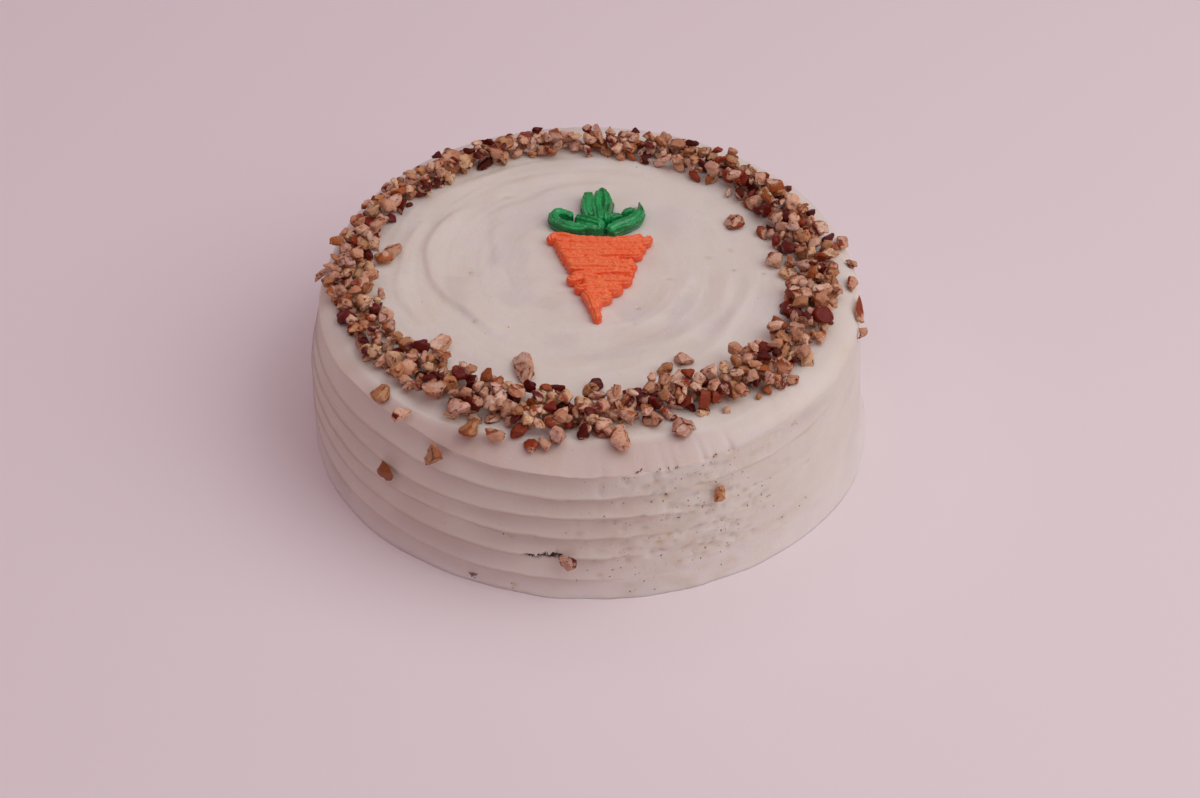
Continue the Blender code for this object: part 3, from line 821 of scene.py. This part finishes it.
def ring_edges():
    """Inner and outer radius of the heap in the frame, at each degree round the cake."""
    places = vertex_values(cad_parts["pecan_ring"].data) / MM
    radius = np.hypot(places[:, 0], places[:, 1])
    angle = np.degrees(np.arctan2(places[:, 1], places[:, 0])) % 360
    inner = np.zeros(360)
    outer = np.zeros(360)
    for degree in range(360):
        near = np.abs((angle - degree + 180) % 360 - 180) < 2.4
        inner[degree] = radius[near].min()
        outer[degree] = radius[near].max()
    return inner, outer


# Pieces dropped first, at known places: x, y, length, kind of skin, flesh tone and skin tone
NOTABLE = [
    (-57.2, -46.0, 11.0, 1, 0, 1), (75.8, 9.4, 8.0, 2, 2, 1), (71.8, 29.2, 7.5, 3, 1, 1),
    (80.7, 1.7, 8.0, 0, 3, 0), (6.5, -92.8, 8.0, 1, 1, 0), (24.9, -86.4, 9.6, 3, 1, 2),
    (40.0, -88.2, 4.6, 1, 5, 0), (39.8, -78.3, 5.0, 6, 0, 0), (-24.9, -94.4, 8.0, 6, 0, 1),
    (-20.6, -99.6, 6.0, 9, 0, 1), (-15.1, -99.4, 6.5, 4, 0, 0), (-10.6, -97.0, 7.6, 4, 5, 0),
    (34.7, -64.5, 8.5, 7, 0, 1), (80.0, -20.0, 8.5, 6, 0, 0), (84.0, -16.5, 7.0, 6, 0, 2),
    (82.0, -25.0, 7.5, 9, 0, 0), (77.5, -26.5, 5.5, 6, 0, 2), (-84.0, -22.0, 10.0, 6, 0, 0),
    (-83.0, 9.5, 8.0, 3, 0, 3), (-80.0, 13.5, 8.0, 0, 1, 0), (-91.0, -2.0, 9.0, 4, 3, 0),
]
RING_PIECES = 900
HEAP_TOP = 78.5                    # no piece reaches higher
HEAP_FOOT = 40.0                   # a piece that would lie lower has missed the cake
BEDDING = 0.25                     # how far a piece sinks into what it lies on
KIND_COUNT = 40
BIT_COUNT = 8
BIT_SKIN_SHARES = (0.0, 0.4, 1.0, 0.2)
BIT_SHARE = 0.15                   # share of the pieces that are small bits
BIT_LENGTHS = (2.2, 4.0)
PIECE_LENGTHS = (3.8, 5.7, 9.0)    # shortest, most common and longest

# Where the heap's edge spreads or draws in a little: degree round the cake, width and mm outwards
INNER_SHIFTS = [(162, 9, 2.6), (207, 8, 1.8), (272, 8, 2.0), (332, 12, 2.0), (355, 6, 1.6)]
OUTER_SHIFTS = [(180, 15, 4.4), (155, 9, 2.0), (205, 8, 1.2), (240, 6, 2.4), (269, 6, 2.6),
                (320, 7, 2.4), (355, 5, -1.4)]


def edge_shift(degree, shifts):
    return sum(size * float(bell(degree, middle, width)) for middle, width, size in shifts)


def ring_place(chance, length, inner, outer):
    """Random place in the ring for a piece of some length."""
    degree = chance.uniform(0, 360)
    low = inner[int(degree) % 360] + length * 0.34 + edge_shift(degree, INNER_SHIFTS)
    high = outer[int(degree) % 360] - length * 0.34 + edge_shift(degree, OUTER_SHIFTS)
    radius = chance.triangular(low, (low + high) / 2, high)
    if chance.rand() < 0.4:
        radius = chance.uniform(low - 0.6, high + 0.6)
    return radius * math.cos(math.radians(degree)), radius * math.sin(math.radians(degree))


def drop_pecans():
    """Chopped pecans in a ring, each tried at a few places and left where it adds the least height."""
    chance = np.random.RandomState(SEED + 5)
    kinds = [chip(100 + index, SKIN_SHARES[index % len(SKIN_SHARES)]) for index in range(KIND_COUNT)]
    bits = [chip(200 + index, BIT_SKIN_SHARES[index % len(BIT_SKIN_SHARES)], 2, BIT_FACES)
            for index in range(BIT_COUNT)]
    heap = Heap()
    inner, outer = ring_edges()
    batches = [[], []]
    for index in range(len(NOTABLE) + RING_PIECES):
        known = index < len(NOTABLE)
        small = not known and chance.rand() < BIT_SHARE
        kind = bits[chance.randint(len(bits))] if small else kinds[chance.randint(KIND_COUNT)]
        length = chance.uniform(*BIT_LENGTHS) if small else chance.triangular(*PIECE_LENGTHS)
        flesh = hide = None
        if known:
            length, skin_kind, flesh, hide = NOTABLE[index][2:]
            variants = KIND_COUNT // len(SKIN_SHARES)
            kind = kinds[skin_kind + len(SKIN_SHARES) * chance.randint(variants)]
        points, faces, skin = kind
        stretch = np.array([1.0, chance.uniform(0.85, 1.15), chance.uniform(0.85, 1.2)])
        best = None
        for _ in range(chance.randint(3, 8)):
            x, y = NOTABLE[index][:2] if known else ring_place(chance, length, inner, outer)
            shape = (points * stretch * length) @ lying(chance, x, y).T
            z = heap.rest(shape, x, y)
            if z < HEAP_FOOT or z + shape[:, 2].max() > HEAP_TOP:
                continue
            cells = heap.cells(shape[:, 0] + x, shape[:, 1] + y)
            score = (z + shape[:, 2].max()) - heap.floor[cells].mean() + chance.uniform(0, 0.8)
            if best is None or score < best[0]:
                best = (score, shape + np.array([x, y, z - BEDDING]))
        if best is None:
            continue
        heap.add(best[1])
        batches[index % 2].append((best[1], faces, skin, chip_tones(skin, chance, flesh, hide)))
    for number, batch in enumerate(batches, start=1):
        made = join_chips(f"chopped_pecans_{number}", batch)
        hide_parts("pecan_ring")


def join_chips(name, batch):
    """One object from a list of placed chips."""
    points, faces, skins, tones = zip(*batch)
    starts = np.cumsum([0] + [len(group) for group in points])
    faces = np.concatenate([group + start for group, start in zip(faces, starts)])
    made = make_object(name, np.concatenate(points), faces, PECAN)
    paint(made, "tone", np.concatenate(tones))
    paint(made, "skin", np.repeat(np.concatenate(skins)[:, None], 3, axis=1))
    return made


# Share of skin, flesh tone and skin tone of the stray pieces that stand out
STRAY_LOOKS = {
    "stray_top_1": (0.25, 1, 1), "stray_top_2": (0.05, 0, 1), "stray_top_3": (1.0, 0, 4),
    "stray_top_4": (0.05, 4, 1), "stray_top_5": (0.15, 1, 0), "stray_top_6": (0.6, 4, 3),
    "stray_top_7": (0.1, 1, 1), "stray_top_8": (0.05, 0, 1), "stray_top_9": (0.1, 5, 1),
    "stray_side_1": (0.7, 4, 3), "stray_side_2": (0.4, 4, 3), "stray_side_3": (0.1, 4, 3),
    "stray_side_4": (0.1, 5, 4), "stray_side_5": (0.1, 4, 1), "stray_side_6": (0.35, 0, 0),
}
STRAY_SWELL = 1.14                 # a rounded piece fills less of its box than an angular one


def make_strays():
    """Detailed pieces in the place, size and direction of each stray one in the frame."""
    names = sorted(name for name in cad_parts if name.startswith("stray_"))
    for number, name in enumerate(names):
        chance = np.random.RandomState(SEED + 40 + number)
        corners = vertex_values(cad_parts[name].data) / MM
        centre = (corners.max(0) + corners.min(0)) / 2
        _, _, axes = np.linalg.svd(corners - corners.mean(0), full_matrices=False)
        if np.linalg.det(axes) < 0:
            axes[2] = -axes[2]
        along = (corners - centre) @ axes.T
        spans = np.ptp(along, axis=0)
        middle = along.max(0) / 2 + along.min(0) / 2
        share, flesh, hide = STRAY_LOOKS.get(name, (0.5, 1, 1))
        points, faces, skin = chip(300 + number, share, 4, STRAY_FACES)
        points = points / np.ptp(points, axis=0) * spans * STRAY_SWELL + middle
        placed = points @ axes + centre
        tones = chip_tones(skin, chance, flesh, hide)
        made = join_chips(f"pecan_{name}", [(placed, faces, skin, tones)])
        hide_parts(name)


# ------------ piped icing

TUCK = 0.75                        # radians by which a strand curls in under itself
FROSTING_GAP = 0.3                 # between the frosting and the icing in the frame


def stroke(route, half_widths, heights, floor, ridges, groove=0.0, step=0.35, lobes=34, seed=0,
           wobble=0.10):
    """Closed tube of icing with a flat underside: points and faces, in mm."""
    route = np.asarray(route, float)
    length = np.linalg.norm(np.diff(route, axis=0), axis=1).sum()
    count = max(int(length / step), 12)
    path = spline(route, count)
    share = np.linspace(0, 1, count)
    knots = np.linspace(0, 1, len(half_widths))
    half = np.interp(share, knots, half_widths)
    tall = np.interp(share, knots, heights)
    ahead = np.gradient(path[:, :2], axis=0)
    ahead /= np.linalg.norm(ahead, axis=1)[:, None]
    side = np.stack([ahead[:, 1], -ahead[:, 0]], axis=1)
    distance = share * length
    cap = np.sqrt(np.clip(1 - (1 - np.clip(distance / half[0], 0, 1)) ** 2, 0.02, 1))
    cap = cap * np.sqrt(np.clip(1 - (1 - np.clip((length - distance) / max(half[-1], 0.5),
                                                 0, 1)) ** 2, 0.02, 1))
    around = np.linspace(-TUCK, math.pi + TUCK, lobes)
    across = np.cos(around)
    up = (np.sin(around) + math.sin(TUCK)) / (1 + math.sin(TUCK))
    points = []
    for index in range(count):
        drift = NOISE(distance[index] / 6 + seed, 0.5, 1.5) * 0.9
        comb = 1 + wobble * np.cos(ridges * around + drift)
        comb = comb - groove * np.exp(-(across / 0.17) ** 2)
        grain = 1 + 0.05 * NOISE(around * 2.2, distance[index] / 1.3, seed * 1.7)
        out = half[index] * cap[index] * across * (0.5 + 0.5 * comb) * grain
        rise = tall[index] * (0.25 + 0.75 * cap[index]) * up * comb * grain
        base = floor + (path[index, 2] if path.shape[1] > 2 else 0.0)
        ring = np.stack([path[index, 0] + side[index, 0] * out,
                         path[index, 1] + side[index, 1] * out, base + rise], axis=1)
        under = ring[[-1, 0]].copy()
        under[:, 2] = floor - 0.6
        points.append(np.vstack([ring, under]))
    size = lobes + 2
    faces = [tuple(face) for face in grid_faces(count, size).tolist()]
    faces.append(tuple(range(size - 1, -1, -1)))
    faces.append(tuple(range((count - 1) * size, count * size)))
    return np.concatenate(points), faces


def merge(parts):
    points = []
    faces = []
    for part_points, part_faces in parts:
        start = sum(len(group) for group in points)
        points.append(part_points)
        faces += [tuple(index + start for index in face) for face in part_faces]
    return np.concatenate(points), faces


def fuse(name, parts, voxel, material, node, grain, low, high):
    """One skin round overlapping strokes, with fine grain, and painted shade in its hollows below high.
    """
    points, faces = merge(parts)
    made = make_object(name, points, faces, material)
    modifier = made.modifiers.new("skin", "REMESH")
    modifier.mode = "VOXEL"
    modifier.voxel_size = voxel * MM
    modifier.use_smooth_shade = True
    soften = made.modifiers.new("soften", "SMOOTH")
    soften.factor = 0.5
    soften.iterations = 1
    evaluated = made.evaluated_get(bpy.context.evaluated_depsgraph_get())
    mesh = bpy.data.meshes.new_from_object(evaluated)
    made.modifiers.clear()
    old = made.data
    made.data = mesh
    bpy.data.meshes.remove(old)
    places = vertex_values(mesh) / MM
    normals = vertex_values(mesh, "normal")
    bump = grain * NOISE(*(places / 0.7).T) + 0.5 * grain * NOISE_B(*(places / 0.33).T)
    places = places + normals * bump[:, None]
    mesh.vertices.foreach_set("co", (places * MM).ravel())
    mesh.update()
    mesh.shade_smooth()
    # Painted shade: darker low down between the strokes, more where the surface faces up
    hollow = 1 - smooth_step(places[:, 2], low, high)
    hollow = hollow * (0.35 + 0.65 * smooth_step(normals[:, 2], -0.2, 0.9))
    paint(made, "hollow", np.repeat(hollow[:, None], 3, axis=1))
    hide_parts(node)


# Strands of the carrot, laid from side to side: points from one end to the other, and height
STRANDS = [
    ([(-15.0, 20.8), (-15.2, 23.0), (-12.4, 24.4), (-7, 23.0), (-1, 21.9), (8, 21.5), (16, 22.4),
      (22.6, 24.6)], 4.2),
    ([(24.0, 24.4), (24.4, 22.6), (22.8, 21.0), (14, 20.6), (4, 19.8), (-6, 20.2), (-13.8, 21.6)],
     4.3),
    ([(-14.6, 20.4), (-8, 19.8), (4, 19.0), (14, 19.6), (22.4, 18.6)], 4.3),
    ([(22.8, 18.2), (20.6, 16.6), (10, 16.6), (0, 16.2), (-13.8, 17.2)], 4.4),
    ([(-12.8, 14.6), (-4, 13.8), (8, 14.2), (20.8, 14.8)], 4.4),
    ([(21.0, 14.0), (19.4, 12.2), (10, 11.8), (0, 11.4), (-11.8, 11.8)], 4.5),
    ([(-11.0, 9.2), (-2, 8.6), (8, 8.0), (14, 7.2), (19.0, 7.2)], 4.3),
    ([(19.0, 6.6), (17.2, 5.0), (10, 5.4), (0, 5.9), (-9.6, 6.4)], 4.4),
    ([(-8.6, 3.9), (-4, 3.3), (2, 3.4), (10, 3.4), (17.6, 2.8)], 4.5),
    ([(17.6, 2.2), (16.2, 0.8), (8, 0.8), (1, -0.4), (-7.4, -1.6)], 4.3),
    ([(-7.0, -2.0), (-6.2, -4.4), (-1, -3.0), (6, -4.2), (15.8, -3.4)], 4.4),
    ([(16.2, -2.0), (15.2, -5.0), (8, -5.6), (-2.6, -6.6)], 4.7),
    ([(-3.2, -7.2), (-3.2, -9.6), (4, -8.8), (12.6, -8.2)], 4.4),
    ([(12.8, -7.8), (11.0, -10.8), (4, -11.4), (-2.2, -12.2)], 4.5),
    ([(-2.0, -12.6), (0, -14.4), (5, -13.8), (9.4, -13.4)], 4.3),
    ([(9.2, -13.8), (6.8, -16.4), (3, -16.2), (0.2, -17.0)], 4.5),
    ([(-1.6, -12.0), (0.2, -16.0), (1.8, -20.4), (2.8, -24.0)], 4.6),
    ([(5.4, -16.8), (3.6, -19.6), (4.2, -22.2)], 4.3),
    ([(2.8, -22.4), (3.4, -25.6), (4.3, -29.4)], 4.5),
]
STRAND_HALF = 2.05
ROOT_VOXEL = 0.27
ROOT_GRAIN = 0.06
LEAF_VOXEL = 0.26
LEAF_GRAIN = 0.035

# Rounder ends of strands: where they lie and half their width
STRAND_ENDS = [([(-14.8, 21.2), (-14.4, 23.2)], 3.2), ([(23.6, 21.8), (22.6, 24.2)], 3.4),
               ([(16.6, -3.6), (14.6, -4.2)], 2.5), ([(-7.2, -2.9), (-5.4, -3.2)], 2.4)]


def make_carrot():
    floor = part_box("carrot_root")[0][2] / MM - FROSTING_GAP
    parts = []
    for index, (route, tall) in enumerate(STRANDS):
        lift = (0.0, 0.22, 0.08)[index % 3]
        half = STRAND_HALF * (1.0 + 0.06 * float(NOISE(index * 2.3, 1.5, 0.5)))
        parts.append(stroke([(x, y, lift) for x, y in route], [half * 1.04, half, half * 0.96, half],
                            [tall * 0.95, tall, tall * 0.97, tall * 0.93], floor, 9,
                            seed=index, wobble=0.085))
    for number, (route, half) in enumerate(STRAND_ENDS):
        parts.append(stroke([(x, y, 0.0) for x, y in route], [half, half], [4.7, 4.6], floor, 7,
                            seed=60 + number, wobble=0.06))
    fuse("piped_carrot", parts, ROOT_VOXEL, ORANGE, "carrot_root", ROOT_GRAIN,
         floor + 2.2, floor + 4.2)


# Strokes of each leaf: route, half widths, heights, number of ridges and depth of the middle groove
LEAF_STROKES = {
    "leaf_left_outer": [([(5.6, 28.4), (1.0, 28.9), (-4.5, 29.4), (-10.0, 30.9), (-13.6, 33.4),
                          (-14.7, 36.4), (-12.8, 38.8), (-9.6, 38.5), (-6.6, 36.6)],
                         [1.8, 2.5, 2.7, 2.8, 2.7, 2.6, 2.5, 2.3, 1.6],
                         [4.6, 5.0, 4.8, 4.6, 4.8, 5.0, 5.0, 4.8, 4.4], 8, 0.10)],
    "leaf_left_inner": [([(7.0, 30.2), (3.4, 31.4), (-0.4, 33.2), (-3.8, 34.8), (-6.0, 36.0)],
                         [1.7, 2.4, 2.7, 2.6, 1.5], [5.2, 5.8, 6.0, 5.6, 4.8], 9, 0.08),
                        ([(5.6, 33.0), (4.9, 29.8), (4.6, 27.0)], [1.7, 2.0, 1.9],
                         [5.0, 5.2, 4.8], 6, 0.0)],
    "leaf_middle_left": [([(0.2, 36.4), (-0.5, 42.0), (-0.6, 48.0), (-0.4, 52.4), (-0.2, 54.2)],
                          [2.4, 3.1, 3.1, 2.7, 2.0], [4.6, 5.0, 5.2, 4.8, 4.2], 8, 0.12)],
    "leaf_middle_right": [([(4.2, 33.6), (3.5, 40.0), (3.2, 46.0), (3.7, 51.5), (5.0, 57.2)],
                           [2.0, 2.6, 2.6, 2.0, 0.3], [5.0, 5.6, 5.8, 5.2, 3.2], 8, 0.0),
                          ([(7.2, 33.6), (7.6, 40.0), (7.7, 46.0), (7.0, 51.5), (5.3, 57.4)],
                           [1.9, 2.3, 2.5, 1.7, 0.3], [4.8, 5.4, 5.6, 5.0, 3.2], 6, 0.0)],
    "leaf_right": [([(7.4, 26.9), (11.4, 29.9), (15.9, 33.0), (19.6, 36.6), (21.3, 41.0),
                     (21.1, 45.0), (20.8, 48.0)],
                    [2.2, 3.0, 3.4, 3.3, 2.6, 1.2, 0.3], [5.0, 5.2, 5.4, 5.2, 4.8, 4.2, 3.0],
                    8, 0.08),
                   ([(13.8, 37.6), (15.8, 39.8), (19.4, 41.8)], [1.4, 2.0, 1.8], [4.0, 4.8, 4.8],
                    5, 0.0)],
    "leaf_right_inner": [([(7.6, 34.8), (10.8, 36.6), (14.4, 38.2)], [2.1, 2.3, 1.5],
                          [4.4, 4.6, 3.8], 6, 0.0)],
}


def make_leaves():
    for number, (name, strokes) in enumerate(LEAF_STROKES.items()):
        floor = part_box(name)[0][2] / MM - FROSTING_GAP
        parts = [stroke(route, widths, heights, floor, ridges, groove, step=0.25, lobes=44,
                        seed=30 + number * 3 + order, wobble=0.09)
                 for order, (route, widths, heights, ridges, groove) in enumerate(strokes)]
        fuse("piped_" + name, parts, LEAF_VOXEL, GREEN, name, LEAF_GRAIN,
             floor + 1.4, floor + 4.4)


# ------------ crumbs and specks

# Larger specks in the side: front angle and height
SIDE_SPECKS = [(11, 63), (14, 62), (18, 62.4), (26, 62), (14, 57), (22, 57), (16, 49.6), (28, 46),
               (24, 40), (33, 40), (6, 38), (16, 38), (19, 37), (26, 36), (17, 29), (28, 30),
               (39, 31), (15, 26), (26, 22), (-8, 49), (-15, 27), (3, 12), (6, 14), (19, 14),
               (-14, 1.5), (9, 3), (12, 7), (46, 59), (43, 16), (48, 15), (50, 17), (13, 2.2)]
# Specks in the top: x, y, and 1 for an orange one
TOP_SPECKS = [(-66, -16, 1), (-31, -31, 1), (20, -19, 0), (59, 6, 0), (71, 4, 0), (68, -12, 0),
              (-48, 3, 0), (-45, -28, 0), (-40, -35, 0), (20, 75, 0), (26, 74, 0), (-35, 54, 0)]
# Numbers of random ones
FRONT_FLECKS = 220
SIDE_FLECKS = 60
TOP_FLECKS = 45
TEAR_CRUMBS = 110
FLECK_SINK = 0.36                  # share of its size that a small fleck is sunk in

# Crumbs about a point of the side: number, front angle and its spread, height and its spread,
# smallest and largest size, colour, and share of the size that is sunk in
CRUMB_PATCHES = [(26, (-3.2, 1.0), (19.6, 1.3), (0.6, 1.5), (0.50, 0.36, 0.25), 0.1),
                 (12, (-22.6, 0.7), (3.4, 0.6), (0.7, 1.6), (0.36, 0.26, 0.19), 0.0)]


def make_specks():
    """Tiny flecks of nut and spice set into the frosting, and the crumbs at the tear."""
    chance = np.random.RandomState(SEED + 9)
    shapes = [chip(400 + index, 0.5, 2, FLECK_FACES) for index in range(5)]
    batch = []
    olive = np.array([0.36, 0.26, 0.10])
    brown = np.array([0.30, 0.17, 0.09])
    orange = np.array([0.72, 0.36, 0.06])

    def olive_or_brown():
        return olive if chance.rand() < 0.6 else brown

    def add(place, outward, size, tone, sink):
        points, faces, skin = shapes[chance.randint(len(shapes))]
        shape = (points * size * np.array([1.0, 0.9, 0.7])) @ turned_by(chance).T
        shape = shape + np.asarray(place) - np.asarray(outward) * size * sink
        shape[:, 2] = np.maximum(shape[:, 2], 0.0)
        batch.append((shape, faces, skin, np.tile(tone * chance.uniform(0.8, 1.2), (len(points), 1))))

    def add_side(front, height, size, tone, sink=0.3):
        angle = math.radians(front + FRONT_DIRECTION)
        radius = float(side_radius(front, height))
        outward = np.array([math.cos(angle), math.sin(angle), 0.0])
        add(np.array([radius * outward[0], radius * outward[1], height]), outward, size, tone, sink)

    def add_top(x, y, size, tone, sink=0.3):
        add(np.array([x, y, float(top_height(x, y))]), np.array([0, 0, 1.0]), size, tone, sink)

    for front, height in SIDE_SPECKS:
        add_side(front, height, chance.uniform(1.1, 1.9), olive_or_brown())
        for _ in range(chance.randint(1, 5)):
            add_side(front + chance.normal(0, 0.6), height + chance.normal(0, 0.8),
                     chance.uniform(0.6, 1.3), olive_or_brown())
    for _ in range(FRONT_FLECKS):
        add_side(chance.normal(20, 12), chance.uniform(6, 64), chance.uniform(0.5, 1.3),
                 olive_or_brown(), FLECK_SINK)
    for _ in range(SIDE_FLECKS):
        add_side(chance.uniform(-180, 180), chance.uniform(2, 64), chance.uniform(0.35, 0.8),
                 brown, FLECK_SINK)
    for x, y, warm in TOP_SPECKS:
        add_top(x, y, chance.uniform(0.9, 1.3), orange if warm else brown)
    for _ in range(TOP_FLECKS):
        radius = 78 * math.sqrt(chance.rand())
        angle = chance.uniform(0, math.tau)
        add_top(radius * math.cos(angle), radius * math.sin(angle), chance.uniform(0.3, 0.7), brown,
                FLECK_SINK)
    join_chips("frosting_flecks", batch)
    batch.clear()

    crumb = np.array([0.045, 0.022, 0.012])
    for _ in range(TEAR_CRUMBS):
        place = TEAR[chance.randint(len(TEAR))]
        add_side(place[0] + chance.normal(0, 0.25), place[1] + chance.normal(0, 0.55),
                 chance.uniform(0.5, 1.3), crumb * chance.uniform(0.5, 2.2), 0.1)
    for count, (front, wide), (height, tall), sizes, tone, sink in CRUMB_PATCHES:
        for _ in range(count):
            add_side(front + chance.normal(0, wide), height + chance.normal(0, tall),
                     chance.uniform(*sizes), np.array(tone), sink)
    join_chips("tear_crumbs", batch)


# ------------ stage, light and camera

# In metres: name, place, point aimed at, width, watts and colour
LIGHTS = [("key", (1.27, -0.36, 1.50), (0, 0, 0.05), 2.0, 16.0, (1.0, 0.985, 1.0)),
          ("overhead", (0, 0.1, 1.65), (0, 0, 0.05), 2.4, 8.9, (0.79, 0.925, 1.0)),
          ("bounce", (1.0, -1.0, 0.30), (0, 0, 0.03), 1.2, 1.0, (0.72, 1.0, 0.94))]
WORLD_COLOUR = (1.0, 0.54, 0.59, 1)
WORLD_STRENGTH = 0.305
FLOOR_REACH = 3.0
CAMERA_PLACE = (0.0053, -0.7564, 0.6781)
CAMERA_DIP = 41.764                # degrees below level that it looks down
CAMERA_ROLL = 0.605
FOCAL_LENGTH = 72.0                # mm, on a sensor 36 mm wide


def make_stage():
    corners = [(x * FLOOR_REACH, y * FLOOR_REACH, 0.0) for x, y in ((-1, -1), (1, -1), (1, 1), (-1, 1))]
    mesh = bpy.data.meshes.new("floor")
    mesh.from_pydata(corners, [], [(0, 1, 2, 3)])
    mesh.materials.append(floor_look())
    new_object("floor", mesh)


def add_light(name, place, aim, size, watts, colour):
    data = bpy.data.lights.new(name, "AREA")
    data.shape = "DISK"
    data.size = size
    data.energy = watts
    data.color = colour
    made = new_object(name, data)
    made.location = place
    made.rotation_euler = (Vector(aim) - Vector(place)).to_track_quat("-Z", "Y").to_euler()


def make_lights():
    for light in LIGHTS:
        add_light(*light)
    world = bpy.data.worlds.new("studio")
    world.use_nodes = True
    background = world.node_tree.nodes["Background"]
    background.inputs[0].default_value = WORLD_COLOUR
    background.inputs[1].default_value = WORLD_STRENGTH
    bpy.context.scene.world = world


def make_camera():
    data = bpy.data.cameras.new("camera")
    data.lens = FOCAL_LENGTH
    data.sensor_width = 36.0
    data.clip_start = 0.01
    camera = new_object("camera", data)
    pitch = math.radians(CAMERA_DIP)
    look = Matrix(((1, 0, 0), (0, math.sin(pitch), -math.cos(pitch)),
                   (0, math.cos(pitch), math.sin(pitch))))
    look = look @ Matrix.Rotation(math.radians(CAMERA_ROLL), 3, "Z")
    camera.matrix_world = Matrix.Translation(CAMERA_PLACE) @ look.to_4x4()
    bpy.context.scene.camera = camera
    bpy.context.scene.view_settings.view_transform = "Standard"


make_camera()
make_lights()
make_stage()
make_frosting()
drop_pecans()
make_strays()
make_carrot()
make_leaves()
make_specks()
